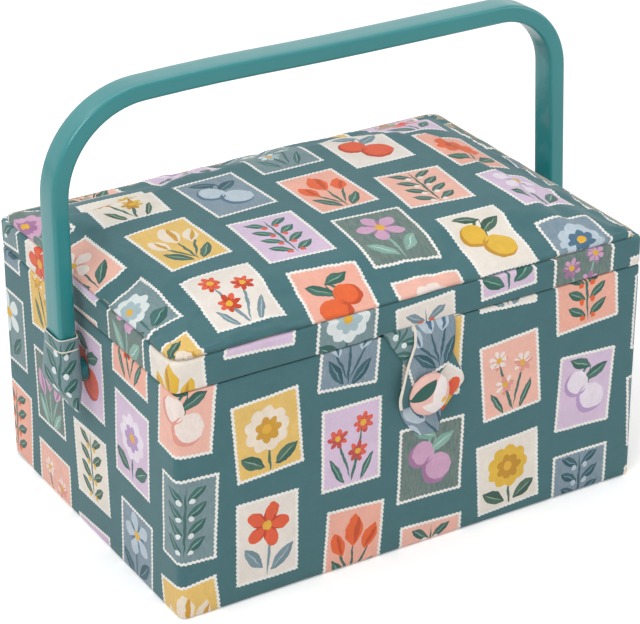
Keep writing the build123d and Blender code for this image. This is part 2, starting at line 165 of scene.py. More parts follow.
def point(x, y, z=0.0):
    return Wire(fed("CombineXYZ", x, y, z))


def blend_colours(share, first, second, most=1.0):
    feeds = {0: share * most if most < 1 else share, 6: first, 7: second}
    return Wire(add_node(share.tree, "Mix", feeds, data_type="RGBA"), 2)


def toned(colour, tone):
    feeds = {0: 1.0, 6: colour, 7: tone}
    return Wire(add_node(tone.tree, "Mix", feeds, data_type="RGBA", blend_type="MULTIPLY"), 2)


def cloudy(place, scale, detail=2.0, rough=0.5, output=0):
    feeds = {"Vector": place, "Scale": scale, "Detail": detail, "Roughness": rough}
    return Wire(add_node(place.tree, "TexNoise", feeds), output)


def chart(share, codes):
    """Picks one of several paints by a number from 0 to 1."""
    node = fed("ValToRGB", share)
    node.color_ramp.interpolation = "CONSTANT"
    stops = node.color_ramp.elements
    stops.remove(stops[1])
    first, *others = codes.split()
    stops[0].color = paint(first)
    for i, code in enumerate(others, 1):
        stops.new(i / (len(others) + 1)).color = paint(code)
    return Wire(node)


def new_group(name, takes, gives):
    """A shared effect: a node group with named inputs and outputs."""
    tree = bpy.data.node_groups.new(name, "ShaderNodeTree")
    for way, sockets in (("INPUT", takes), ("OUTPUT", gives)):
        for label, kind in sockets.items():
            tree.interface.new_socket(label, in_out=way, socket_type="NodeSocket" + kind)
    entry, leave = tree.nodes.new("NodeGroupInput"), tree.nodes.new("NodeGroupOutput")
    return [Wire(entry, label) for label in takes], leave.inputs


def use_group(tree, name, **feeds):
    node = add_node(tree, "Group", feeds, node_tree=bpy.data.node_groups[name])
    return {socket.name: Wire(node, socket.name) for socket in node.outputs}


def new_finish(name, roughness, **constants):
    """A Principled surface with constants on its own sockets."""
    finish = bpy.data.materials.new(name)
    finish.use_nodes = True
    surface = finish.node_tree.nodes["Principled BSDF"].inputs
    for label, value in {"Roughness": roughness, **constants}.items():
        surface[label.replace("_", " ")].default_value = value
    return finish, surface


print("helpers ready")

# %% [markdown]
# ## Floor and light
# A catalogue picture is lit from large soft sources, so shadows are pale and colours read true.
# The floor is nearly white, and the world adds an even fill.

# %% Floor, world and lamps
WHITE, PALE = (1, 1, 1, 1), (0.95, 0.95, 0.95, 1)
FLOOR_LIFT, WORLD_FILL = 0.22, 0.42
LIT_POINT = Vector((0, 0, 0.08))


def stage_floor():
    pale, surface = new_finish("pale floor", 0.9, Base_Color=PALE, Emission_Color=WHITE)
    direct_look = Wire(add_node(pale.node_tree, "LightPath"), "Is Camera Ray")
    join_up(direct_look * FLOOR_LIFT, surface["Emission Strength"])
    shape = bmesh.new()
    bmesh.ops.create_grid(shape, x_segments=1, y_segments=1, size=4.0)
    mesh = bpy.data.meshes.new("floor")
    shape.to_mesh(mesh)
    shape.free()
    mesh.materials.append(pale)
    add_object("floor", mesh)


def soft_lamp(name, place, size, watts):
    lamp = bpy.data.lights.new(name, "AREA")
    lamp.shape, lamp.size, lamp.energy = "SQUARE", size, watts
    holder = add_object(name, lamp)
    holder.location = place
    holder.rotation_mode = "QUATERNION"
    holder.rotation_quaternion = (LIT_POINT - Vector(place)).to_track_quat("-Z", "Y")


def white_surroundings(name, fill):
    """White to the camera and in reflections, dimmer as a light on the object."""
    world = bpy.data.worlds.new(name)
    world.use_nodes = True
    bpy.context.scene.world = world
    path = add_node(world.node_tree, "LightPath")
    seen = either(*[Wire(path, f"Is {kind} Ray") for kind in ("Camera", "Glossy", "Transmission")])
    background = world.node_tree.nodes["Background"].inputs
    background["Color"].default_value = WHITE
    join_up(sums("MULTIPLY_ADD", seen, 1 - fill, fill), background["Strength"])


stage_floor()
white_surroundings("studio", WORLD_FILL)
soft_lamp("key", (-1.3, -0.9, 1.6), 1.0, 20)
soft_lamp("overhead", (0.2, 0.2, 2.0), 1.6, 12)
soft_lamp("fill", (1.5, -0.9, 0.8), 1.2, 6)
soft_lamp("rim", (-0.9, 1.3, 1.9), 1.0, 7)

# %% [markdown]
# ## Woven threads
# Plain cotton is an over-and-under grid of threads. Two sine waves at right angles give that
# grid, and a little noise makes the threads uneven. Every cloth on the box shares this group,
# each with its own thread spacing.

# %% The woven-threads group
(place, spacing), leave = new_group("woven threads", {"Place": "Vector", "Spacing": "Float"},
                                    {"Height": "Float", "Tone": "Float"})
across, along, _ = split(place)
turn = sums("DIVIDE", pi, spacing)
uneven = cloudy(place, 900.0)
slub = cloudy(place, 260.0, 3.0, 0.6)
join_up(sums("SINE", across * turn) * sums("SINE", along * turn) * 0.5 + uneven, leave["Height"])
join_up(slub * 0.16 + uneven * 0.10 + 0.87, leave["Tone"])
print("threads group has", len(slub.tree.nodes), "nodes")

# %% [markdown]
# ## The printed cloth
# Printed cotton gives the box its look. The print here is a plain design of its own: tilted
# panels with scalloped cream borders on a teal ground, each with one of six motifs. Their
# lattice leans, as a printed repeat does. Uneven steps along it pick the colours and the motif,
# so neighbours differ, and a random number per panel gives its tilt, size and place.

# %% The print: cells, tilt and panel
CELL_MM, STAGGER = (45.0, 55.0), 0.37
BORDER_MM, SCALLOP_MM = 1.5, 2.3


def wobble(place, scale, reach):
    """Two small offsets that make a drawn line look made by hand."""
    return [part * (2 * reach) - reach
            for part in split(cloudy(place, scale, output="Color"), "Color")[:2]]


def chance(column, row, kind):
    """Three random numbers from 0 to 1 for a cell."""
    node = add_node(column.tree, "TexWhiteNoise", {"Vector": point(column, row, kind)})
    return split(Wire(node, "Color"), "Color")


[place], leave = new_group("printed panels", {"Place": "Vector"}, {"Color": "Color"})
cloth_x, cloth_y, _ = split(place)
cell_x = cloth_x * (1000 / CELL_MM[0])
column = sums("FLOOR", cell_x)
cell_y = cloth_y * (1000 / CELL_MM[1]) + column * STAGGER
row = sums("FLOOR", cell_y)
pick_colour = remainder(column * 0.4142 + row * 0.2679 + 50.0)
pick_motif = remainder(column * 0.3017 + row * 0.4711 + 50.1)
pick_tilt, pick_wide, pick_high = chance(column, row, 3.5)
shift_x, shift_y, pick_turn = chance(column, row, 8.5)
edge_x, edge_y = wobble(place, 110.0, 0.35)
from_middle = point((cell_x - column - 0.5) * CELL_MM[0] + shift_x * 2.4 + edge_x - 1.2,
                    (cell_y - row - 0.5) * CELL_MM[1] + shift_y * 3.0 + edge_y - 1.5)
px, py, _ = split(Wire(add_node(column.tree, "VectorRotate",
                                {"Vector": from_middle, "Angle": (pick_tilt - 0.5) * 0.2},
                                rotation_type="Z_AXIS")))
half_wide, half_high = pick_wide * 2.8 + 15.9, pick_high * 3.4 + 19.8
scallop_x, scallop_y = [sums("COSINE", a * (2 * pi / SCALLOP_MM)) * 0.28 for a in (py, px)]
edge_distance = either(size_of(px) - half_wide + scallop_x, size_of(py) - half_high + scallop_y)
panel, picture = below(edge_distance, 0.0), below(edge_distance, -BORDER_MM)
hand_x, hand_y = wobble(place, 210.0, 1.0)
flip = below(pick_turn, 0.5) * 2.0 - 1.0
px, py = (px + hand_x) * flip, py + hand_y


# %% The print: simple shapes that motifs are made of
STEM_HALF, VEIN_HALF, VEIN_SHARE = 0.75, 0.32, 0.8


def disc(x, y, cx, cy, radius):
    return below((x - cx) * (x - cx) + (y - cy) * (y - cy), radius * radius)


def lens(x, y, cx, cy, degrees, half_long, half_wide):
    """A pointed oval, as a leaf or petal is drawn."""
    turned = radians(degrees)
    a = (x - cx) * cos(turned) + (y - cy) * sin(turned)
    b = (y - cy) * cos(turned) - (x - cx) * sin(turned)
    return below(size_of(b), a * a * (-half_wide / half_long ** 2) + half_wide)


def ovals(*drawn):
    return either(*[lens(px, py, *oval) for oval in drawn])


def greenery(leaves, stems):
    """Leaves with their stems, the light veins along them, and their darker halves."""
    wholes = [lens(px, py, *leaf) for leaf in leaves]
    halves = [whole * below((py - y) * cos(radians(degrees)), (px - x) * sin(radians(degrees)))
              for whole, (x, y, degrees, _, _) in zip(wholes, leaves)]
    veins = [(x, y, degrees, long * VEIN_SHARE, VEIN_HALF) for x, y, degrees, long, _ in leaves]
    stalks = ovals(*[(*stem, STEM_HALF) for stem in stems])
    return either(*wholes, stalks), ovals(*veins), either(*halves)


def ray_flower(cx, cy, petals, core, reach):
    """Petals round a middle, the dips between them, and how far out a point lies."""
    x, y = px - cx, py - cy
    out = sums("SQRT", x * x + y * y)
    wave = size_of(sums("COSINE", sums("ARCTAN2", y, x) * (petals / 2)))
    return below(out, wave * reach + core), below(wave, 0.4) * below(core * 0.45, out), out


# %% The print: six motifs, each with greenery, blooms, their shade and their hearts
flower, flower_dip, flower_out = ray_flower(0, 7, 5, 5.5, 6.6)
flower_green = greenery([(-7.5, -9.5, 128, 8.0, 3.2), (8.0, -12.0, 46, 8.5, 3.2)],
                        [(0.8, -9.0, 86, 12.0)])

buds = ovals((0, 9, 90, 9.0, 5.0), (-8.6, 2.5, 112, 7.2, 3.8), (9.0, 4.0, 66, 7.2, 3.8))
bud_dip = ovals((1.8, 9, 82, 7.8, 1.5), (-7.8, 2, 104, 6.0, 1.1), (9.8, 3.4, 58, 6.0, 1.1))
bud_green = greenery([(-7.0, -12.5, 124, 8.5, 2.7), (7.0, -14.0, 52, 8.0, 2.6)],
                     [(0, -9, 90, 11.5), (-4.6, -8.5, 117, 10.0), (5, -8, 64, 10.0)])

fruit_pair = [disc(px, py, -3.6, -5.5, 8.4), disc(px, py, 5.6, 4.0, 7.2)]
fruit_light = [disc(px, py, -5.2, -4.0, 7.9), disc(px, py, 4.2, 5.2, 6.6)]
fruit_dip = either(*[fruit * below(light, 0.5) for fruit, light in zip(fruit_pair, fruit_light)])
fruit_green = greenery([(-6.0, 9.0, 152, 7.6, 3.3), (4.0, 15.0, 20, 7.0, 2.9)],
                       [(-1.5, 5.5, 96, 8.5), (1.5, 10.5, 118, 5.0)])

LEAF_AT, LEAF_DEGREES = (6.2, 1.2), 34
level = sums("FLOORED_MODULO", py + 27.0, 9.0) - 4.5
within = below(size_of(py), 17.5)
branch_leaf = lens(size_of(px), level, *LEAF_AT, LEAF_DEGREES, 6.2, 2.4) * within
branch_vein = lens(size_of(px), level, *LEAF_AT, LEAF_DEGREES, 4.8, 0.3) * within
branch_half = below((level - LEAF_AT[1]) * cos(radians(LEAF_DEGREES)),
                    (size_of(px) - LEAF_AT[0]) * sin(radians(LEAF_DEGREES)))
branch_green = (either(ovals((0, 0, 90, 19.0, STEM_HALF)), branch_leaf), branch_vein,
                branch_leaf * branch_half)
berries = disc(size_of(px), level, 3.3, -2.9, 1.5) * within

bloom, _, bloom_out = ray_flower(0, 3.5, 9, 10.2, 1.9)
inner_bloom, _, _ = ray_flower(0.4, 3.0, 7, 5.2, 2.0)
bloom_green = greenery([(-9.0, -12.0, 148, 7.5, 3.6), (9.0, -12.5, 30, 7.5, 3.6)],
                       [(0, -12, 90, 8.0)])

daisies, daisy_dips, daisy_outs = zip(*[ray_flower(x, y, 7, 3.0, 2.6) for x, y in
                                        ((-6.5, 10.5), (7.5, 5.0), (-3.5, -4.0))])
daisy_green = greenery([(-8.5, -13.0, 118, 7.5, 1.7), (8.0, -12.5, 62, 8.5, 1.8)],
                       [(-3.6, -4.0, 101, 15.0), (4.0, -6.5, 72, 12.0), (-1.6, -12.0, 103, 8.0)])

# %% The print: paint the chosen motif
MOTIFS = [  # leaves, veins and dark halves, then blooms, their shade and their hearts
    (*flower_green, flower, flower * flower_dip, below(flower_out, 2.6)),
    (*fruit_green, either(*fruit_pair), fruit_dip, None),
    (*bud_green, buds, buds * bud_dip, None),
    (*bloom_green, bloom, inner_bloom, below(bloom_out, 2.4)),
    (*branch_green, berries, None, None),
    (*daisy_green, either(*daisies), either(*daisies) * either(*daisy_dips),
     either(*[below(out, 1.6) for out in daisy_outs])),
]
layers = [[] for _ in MOTIFS[0]]
for number, motif in enumerate(MOTIFS):
    chosen = below(pick_motif, (number + 1) / len(MOTIFS)) * picture
    if number:
        chosen = chosen * below(number / len(MOTIFS), pick_motif)
    for layer, mask in zip(layers, motif):
        if mask:
            layer.append(mask * chosen)
leaves_at, veins_at, halves_at, blooms_at, shade_at, hearts_at = [either(*m) for m in layers]

grounds, blooms, shades, greens, veins = [chart(pick_colour, codes) for codes in (
    "EEB09F 5E8197 E6DED6 2F5F5E D2B9D8 E4B84C EEA591 E8E0D5 4C7A85 D4BBDA",
    "F3ECE4 C7D4DD E6603B D5A8C4 F1E9EF F2E9DC E9672F E7BB3F E6EBE9 E66148",
    "DF988A 4C6F86 C1401F A2739A B697C2 CF9A30 C54B22 C38E22 A5BCC2 BA4A44",
    "2C584E 214C58 6C858E 7BA698 2A594E 2C584E 295A4C 2E5146 24564F 2A6054",
    "7FA597 6E95A0 A9BCC2 C5DCD2 86AE9F 8CAA8C 7FA597 8CAA8C 7FA8A6 7FAA9C")]
streaks = cloudy(point(px * 0.9, py * 0.22, pick_colour), 1.0, 3.0, 0.6)
mottle = cloudy(place, 75.0, 4.0, 0.62)
colour = blend_colours(panel, "3E6B70", "EDEAE4")
colour = blend_colours(picture, colour, blend_colours(streaks, grounds, "E9DCCB", 0.28))
colour = blend_colours(leaves_at, colour, blend_colours(streaks, greens, veins, 0.3))
colour = blend_colours(halves_at, colour, greens, 0.8)
colour = blend_colours(veins_at, colour, veins)
colour = blend_colours(blooms_at, colour, blend_colours(streaks, blooms, shades, 0.35))
colour = blend_colours(shade_at, colour, shades)
colour = blend_colours(hearts_at, colour, "E2AE3C")
join_up(toned(colour, mottle * 0.26 + 0.86), leave["Color"])
print("print nodes", len(colour.tree.nodes))

# %% [markdown]
# ## Finishes
# Each finish is one Principled surface. Cloth is rough with a faint sheen, and its threads show
# as a small bump. Plastic is smoother and barely mottled. Constant values are set on the shader.

# %% The quilt-stitches group, with painted shade along the stitch lines
QUILT_MM = 24.0
[place], leave = new_group("quilt stitches", {"Place": "Vector"},
                           {"Thread": "Float", "Tone": "Float"})
quilt_x, quilt_y, _ = split(place)
slant_a = (quilt_x + quilt_y) * (1000 / sqrt(2) / QUILT_MM)
slant_b = (quilt_x - quilt_y) * (1000 / sqrt(2) / QUILT_MM)
off_a, off_b = [size_of(remainder(a + 50.5) - 0.5) * QUILT_MM for a in (slant_a, slant_b)]
dash_a, dash_b = [below(remainder(a * (QUILT_MM / 3) + 50), 0.64) for a in (slant_a, slant_b)]
join_up(either(below(off_a, 0.3) * dash_b, below(off_b, 0.3) * dash_a), leave["Thread"])
# Tone is painted shade: the cloth is darkened towards each stitch line, where the quilting dips.
painted_crease_shade = either(sums("MINIMUM", off_a, off_b) * -0.4 + 1.0, 0.0)
join_up(painted_crease_shade * painted_crease_shade * -0.4 + 1.0, leave["Tone"])
print("stitches group has", len(place.tree.nodes), "nodes")


# %% Cloth: the threads are shared, the pattern on them is each finish's own
DOT_STEP = 4.5


def raise_bump(surface, height, distance, strength):
    feeds = {"Distance": distance, "Strength": strength, "Height": height}
    join_up(Wire(add_node(height.tree, "Bump", feeds)), surface["Normal"])


def woven(name, pattern, spacing, roughness, sheen, bump=0.35 * MM, strength=0.8, source="UV"):
    """A cloth finish. pattern(place, tone, threads) gives its colour, tone and height."""
    finish, surface = new_finish(name, roughness, Sheen_Weight=sheen)
    place = Wire(add_node(finish.node_tree, "TexCoord"), source)
    threads = use_group(finish.node_tree, "woven threads", Place=place, Spacing=spacing)
    colour, tone, height = pattern(place, threads["Tone"], threads["Height"])
    join_up(toned(colour, tone), surface["Base Color"])
    raise_bump(surface, height, bump, strength)
    return finish


def plain(code=None):
    """Cotton of one colour, or the print where no paint is named."""
    def pattern(place, tone, threads):
        colour = code or use_group(place.tree, "printed panels", Place=place)["Color"]
        return colour, tone, threads * 0.35 + cloudy(place, 45.0, 3.0, 0.55) * 1.3
    return pattern


def stitched(place, tone, threads):
    quilt = use_group(place.tree, "quilt stitches", Place=place)
    colour = blend_colours(quilt["Thread"], "3F7472", "B9D6D0")
    # The quilt's Tone darkens the lining along its stitch lines as painted shade.
    return colour, tone * quilt["Tone"], threads * 0.3 + quilt["Thread"]


def dotted(place, tone, threads):
    """Small cream dots, a line of stitches inside the cushion's seam, and painted shade along the
    seam's dip.
    """
    x, y, _ = [axis * 1000 for axis in split(place)]
    cell_x, cell_y = x * (1 / DOT_STEP), y * (1 / DOT_STEP)
    dot = disc(remainder(cell_x + sums("FLOOR", cell_y) * 0.5 + 50), remainder(cell_y + 50),
               0.5, 0.5, 0.16)
    out_x, out_y = either(size_of(x) - 10.5, 0.0), either(size_of(y) - 24.5, 0.0)
    seam = size_of(sums("SQRT", out_x * out_x + out_y * out_y) - 14.5)
    stitch = below(seam, 0.35) * below(remainder((x - y) * 0.36 + 50), 0.62)
    colour = blend_colours(stitch, blend_colours(dot, "DB9484", "F4E7DC"), "FBF3EA")
    # The seam's dip is raised as a bump, and it also darkens the tone there as painted shade.
    sunk = either(seam * -0.5 + 1.0, 0.0)
    return colour, tone * (sunk * -0.25 + 1.0), threads * 0.3 + sunk * -1.5


def large_leaf(place, tone, threads):
    """The button's cutting: petals, one large leaf and a dot on blush."""
    x, y, _ = [axis * 1000 for axis in split(place)]
    colour = blend_colours(lens(x, y, 4.0, 2.5, 60, 9.0, 4.0), "EDBDB2", "F1E6E4")
    colour = blend_colours(lens(x, y, 2.5, -6.0, -15, 9.0, 3.6), colour, "F1E6E4")
    colour = blend_colours(lens(x, y, -4.5, 3.5, 35, 8.5, 3.0), colour, "2A5950")
    colour = blend_colours(disc(x, y, 6.0, -3.0, 1.6), colour, "E3B74E")
    return colour, tone, threads


def ribbed(place, tone, threads):
    """Elastic, with fine ribs across the band."""
    return "4C8883", tone, sums("SINE", split(place)[1] * (2 * pi / (1.1 * MM))) + threads


print_cloth = woven("printed cotton", plain(), 0.45 * MM, 0.85, 0.15)
edge_cloth = woven("cream cut edge", plain("E6E0D2"), 0.45 * MM, 0.85, 0.15)
lining_flat = woven("teal lining on card", plain("3F7472"), 0.4 * MM, 0.55, 0.3, source="Object")
pocket_cloth = woven("blush pocket cotton", plain("E8B6A7"), 0.4 * MM, 0.85, 0.15)
lining_cloth = woven("quilted teal lining", stitched, 0.4 * MM, 0.6, 0.3, 0.3 * MM)
cushion_cloth = woven("dotted cushion cotton", dotted, 0.4 * MM, 0.8, 0.2, 0.4 * MM)
button_cloth = woven("button cotton", large_leaf, 0.45 * MM, 0.8, 0.15, 0.15 * MM, 0.7)
ribbed_elastic = woven("ribbed elastic", ribbed, 0.5 * MM, 0.8, 0.0, 0.3 * MM, 0.9)
print("cloths", [finish.name for finish in bpy.data.materials if finish.name != "pale floor"])


# %% Plastic, card, paper, foam and steel
def mottled(name, light, dark, roughness, scale, bump, **constants):
    finish, surface = new_finish(name, roughness, **constants)
    place = Wire(add_node(finish.node_tree, "TexCoord"), "Object")
    cloud = cloudy(place, scale, 4.0, 0.6)
    join_up(blend_colours(cloud, dark, light), surface["Base Color"])
    join_up(cloudy(place, scale * 3, 3.0, 0.6) * 0.12 + (roughness - 0.06), surface["Roughness"])
    raise_bump(surface, cloudy(place, scale * 8, 3.0, 0.6), bump * MM, 0.6)
    return finish


handle_plastic = mottled("teal moulded plastic", "25888B", "1F7D80", 0.31, 30, 0.06,
                         Coat_Weight=0.4, Coat_Roughness=0.08)
tray_plastic = mottled("pale tray plastic", "EFF1EE", "E6E9E6", 0.3, 30, 0.05)
grey_card = mottled("grey board", "B8AC98", "9C907D", 0.9, 220, 0.2)
dark_paper = mottled("dark teal base paper", "33524F", "28433F", 0.8, 300, 0.12)
foam_finish = mottled("upholstery foam", "EAE5CF", "D6CFB4", 0.95, 500, 0.4)
steel_finish = mottled("plated steel", "C9CBCC", "AEB2B5", 0.3, 400, 0.02, Metallic=1.0)
print("finishes in all", len(bpy.data.materials))

# %% [markdown]
# ## Making a piece
# Pieces are modelled as a ring of edges that is extruded again and again, the way cloth goes
# round a box. Each vertex remembers its place on the first ring and how far round and along the
# cloth it lies, and from that comes the map that carries the print at its true size.

# %% Rings and grids of cloth
def layer_of(shape, kind, name):
    found = getattr(shape.verts.layers, kind)
    return found.get(name) or found.new(name)


def laid_grid(cells, place, labels=("around", "up")):
    """A grid of cloth. place(x, y), each from -0.5 to 0.5, gives a point and its marks."""
    shape = bmesh.new()
    bmesh.ops.create_grid(shape, x_segments=cells[0], y_segments=cells[1], size=0.5)
    layers = [layer_of(shape, "float", label) for label in labels]
    for vert in shape.verts:
        vert.co, *marks = place(vert.co.x, vert.co.y)
        for layer, mark in zip(layers, marks):
            vert[layer] = mark
    return shape


def rounded_rectangle(width, depth, corner, segments):
    shape = bmesh.new()
    bmesh.ops.create_grid(shape, x_segments=1, y_segments=1, size=0.5)
    bmesh.ops.scale(shape, vec=(width, depth, 1), verts=shape.verts)
    bmesh.ops.bevel(shape, geom=shape.verts[:], offset=corner, offset_type="OFFSET",
                    segments=segments, profile=0.5, affect="VERTICES", material=-1)
    return shape


def rounded_ring(width, depth, corner, spacing):
    """A ring of edges with rounded corners, its sides divided to the given spacing."""
    shape = rounded_rectangle(width, depth, corner, 6)
    for edge in [e for e in shape.edges if e.calc_length() > 2 * spacing]:
        cuts = ceil(edge.calc_length() / spacing) - 1
        bmesh.ops.subdivide_edges(shape, edges=[edge], cuts=cuts)
    bmesh.ops.delete(shape, geom=shape.faces[:], context="FACES_ONLY")
    home = layer_of(shape, "float_vector", "home")
    around = layer_of(shape, "float", "around")
    half_x, half_y = width / 2 - corner, depth / 2 - corner
    for vert in shape.verts:
        x, y = vert.co.x, vert.co.y
        core_x, core_y = max(-half_x, min(half_x, x)), max(-half_y, min(half_y, y))
        bearing = abs(atan2(x - core_x, core_y - y)) if hypot(x - core_x, y - core_y) else 0
        run = corner * bearing + core_y + half_y
        run += half_x - abs(core_x) + half_x if bearing > pi / 2 + 0.01 else abs(core_x)
        vert[home] = vert.co
        vert[around] = copysign(run, x)
    return shape


def open_edges(shape):
    return [e for e in shape.edges if e.is_boundary]


def extruded(shape, edges):
    """Extrudes a ring of edges. Gives its new vertices and the new ring."""
    made = bmesh.ops.extrude_edge_only(shape, edges=edges)["geom"]
    verts = [part for part in made if isinstance(part, bmesh.types.BMVert)]
    fresh = set(verts)
    return verts, [part for part in made if isinstance(part, bmesh.types.BMEdge)
                   and part.verts[0] in fresh and part.verts[1] in fresh]


def grow_skin(shape, places, steps):
    """Lays the first ring, and extrudes one for each further place and step along the cloth."""
    home, up = layer_of(shape, "float_vector", "home"), layer_of(shape, "float", "up")
    edges = shape.edges[:]
    for vert in shape.verts:
        vert.co = places[0](vert[home])
    for place, step in zip(places[1:], steps):
        verts, edges = extruded(shape, edges)
        for vert in verts:
            vert.co = place(vert[home])
            vert[up] = vert[up] + step


def map_cloth(shape, offset=(0.0, 0.0)):
    """The cloth map, from how far round and along each vertex lies."""
    around, up = layer_of(shape, "float", "around"), layer_of(shape, "float", "up")
    whole = max(v[around] for v in shape.verts) - min(v[around] for v in shape.verts)
    cloth_map = shape.loops.layers.uv.new("cloth")
    for face in shape.faces:
        runs = [loop.vert[around] for loop in face.loops]
        across_the_join = max(runs) - min(runs) > whole / 2
        for loop, run in zip(face.loops, runs):
            if across_the_join and run < 0:
                run += whole
            loop[cloth_map].uv = (run + offset[0], loop.vert[up] + offset[1])


def face_outward(shape, sample, outward):
    """Turns the whole skin over if the face nearest a point looks the wrong way."""
    bmesh.ops.recalc_face_normals(shape, faces=shape.faces)
    nearest = min(shape.faces, key=lambda f: (f.calc_center_median() - Vector(sample)).length)
    if nearest.normal.dot(Vector(outward)) < 0:
        bmesh.ops.reverse_faces(shape, faces=shape.faces)


def rumple(shape, amount, grain, seed, where=lambda co: 1.0):
    """Small uneven moves along the skin's own direction, as cloth over board has."""
    shape.normal_update()
    moves = [v.normal * (noise.noise(v.co * grain + Vector((seed, 0, 0))) * amount * where(v.co))
             for v in shape.verts]
    for vert, move in zip(shape.verts, moves):
        vert.co += move


def settle_order(shape):
    """Lists edges and faces by their corners. Extruding lists them differently each run, and
    a cloth simulation's sums follow that order, so it would end a little differently too."""
    shape.verts.index_update()
    for parts in (shape.edges, shape.faces):
        by_corners = sorted(parts, key=lambda part: sorted(vert.index for vert in part.verts))
        for number, part in enumerate(by_corners):
            part.index = number
        parts.sort()


def make_piece(name, shape, finishes, replaces=(), body=None, crisp=None, wall=None):
    """A finished piece. Its wall, if any, is a thickness, a side and the rim's finish."""
    settle_order(shape)
    mesh = bpy.data.meshes.new(name)
    shape.to_mesh(mesh)
    shape.free()
    for polygon in mesh.polygons:
        polygon.use_smooth = True
    if crisp:
        mesh.set_sharp_from_angle(angle=radians(crisp))
    for finish in finishes:
        mesh.materials.append(finish)
    piece = add_object(name, mesh)
    if body:
        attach(piece, body)
    if wall:
        skin = piece.modifiers.new("cloth thickness", "SOLIDIFY")
        skin.thickness, skin.offset, skin.material_offset_rim = wall
    if replaces:
        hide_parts(*replaces)
    print(name, len(mesh.polygons), "faces")
    return piece


# %% [markdown]
# ## The cloth round the base
# One strip of print goes round the base, is turned under the bottom and over the rim, and is
# glued down. It could be a plain box with a bevel, but a skin grown ring by ring also gives the
# rolled rim, the turned-in edges and a cloth map that runs unbroken round the corners.

# %% Base cover
BOX, CORNER, CLOTH = (260 * MM, 185 * MM), 3.6 * MM, 0.7 * MM
FRONT = -BOX[1] / 2
STRIP_RECESS = 0.9 * MM
SIDES = ("front", "back", "left", "right")


def inset_place(inset, z, recess=False):
    """Puts a ring at a height, drawn in, and sunk at the back where the hinge strip lies."""
    scale_x, scale_y = 1 - 2 * inset * MM / BOX[0], 1 - 2 * inset * MM / BOX[1]

    def place(home):
        sunk = STRIP_RECESS if recess and home.y > BOX[1] / 2 - 1e-6 else 0
        return Vector((home.x * scale_x, home.y * scale_y - sunk, z * MM))
    return place


def wrapped_skin(rings, spacing):
    shape = rounded_ring(*BOX, CORNER, spacing)
    steps = [hypot(b[0] - a[0], b[1] - a[1]) * MM for a, b in zip(rings, rings[1:])]
    grow_skin(shape, [inset_place(*ring) for ring in rings], steps)
    return shape


BASE_RINGS = [  # inset, height, and whether the back is sunk
    (15, 0.62), (1.2, 0.62), (0.35, 0.9), (0, 1.8), *[(0, z) for z in range(7, 109, 6)],
    (0, 109.3), (0, 109.6, True), (0, 114, True), (0, 118.2, True), (0.3, 119.1, True),
    (1.0, 119.6, True), (3.6, 119.6), (4.3, 119.2), (4.6, 118.4), (4.6, 113), (4.6, 108.8)]
shape = wrapped_skin(BASE_RINGS, 5 * MM)
face_outward(shape, (0, FRONT, 60 * MM), (0, -1, 0))
rumple(shape, 0.22 * MM, 38, 1.0)
map_cloth(shape, (0.6, 0.3082))
base_cloth = make_piece("base_cloth", shape, [print_cloth], ["base_cover"],
                        "box", crisp=60, wall=(CLOTH, -1, 0))

# %% [markdown]
# ## The cloth round the lid
# The lid's 15 mm walls have their own strip, turned in at the bottom and over the top, where the
# padded top hides its edge. It lifts a little where the ribbon comes out.

# %% Lid skirt cover
SKIRT_RINGS = [
    (4.6, 131), (4.6, 121.2), (4.3, 120.3), (3.6, 120), (1.0, 120), (0.3, 120.3),
    (0, 121.2, True), (0, 125, True), (0, 130.1, True), (0, 130.4), (0, 133.5),
    (0.4, 134.5), (1.3, 134.95), (15, 135)]
RIBBON_LIFT, RIBBON_MIDDLE, RIBBON_HALF = 1.2 * MM, -0.6 * MM, 20.5 * MM
LIFT_TOP, LIFT_FADE = 123 * MM, 0.15

shape = wrapped_skin(SKIRT_RINGS, 4 * MM)
for vert in shape.verts:
    side = abs(vert.co.x - RIBBON_MIDDLE) / RIBBON_HALF
    if vert.co.y < 0 and side < 1 + LIFT_FADE and vert.co.z < LIFT_TOP:
        fade = min(1.0, (1 + LIFT_FADE - side) / LIFT_FADE)
        vert.co.z += RIBBON_LIFT * fade * (LIFT_TOP - vert.co.z) / (3 * MM)
face_outward(shape, (0, FRONT, 128 * MM), (0, -1, 0))
rumple(shape, 0.25 * MM, 45, 7.0)
map_cloth(shape, (0.423, 0.775))
skirt_cloth = make_piece("lid_skirt_cloth", shape, [print_cloth],
                         ["lid_skirt_cover"], "lid", crisp=60, wall=(CLOTH, -1, 0))

# %% [markdown]
# ## The padded top
# Foam under stretched cloth stands up at its edge and is crowned in the middle. A grid, finer
# near its edges, is bent to that form, its corners are drawn to arcs, and its border is extruded
# down and closed. Blender's cloth then lets it swell a little, held at the seam, which gives the
# slack and the small puckers that a ruled surface lacks.

# %% A crowned pad
def firm_shoulder(reach):
    """Foam that stands up steeply at its edge."""
    return lambda distance: sqrt(max(1e-4, 1 - (1 - min(max(distance, 0.0), reach) / reach) ** 2))


def soft_shoulder(reach):
    """Foam drawn down flat at its edge."""
    return lambda distance: max(0.02, sin(pi / 2 * min(max(distance, 0.0), reach) / reach))


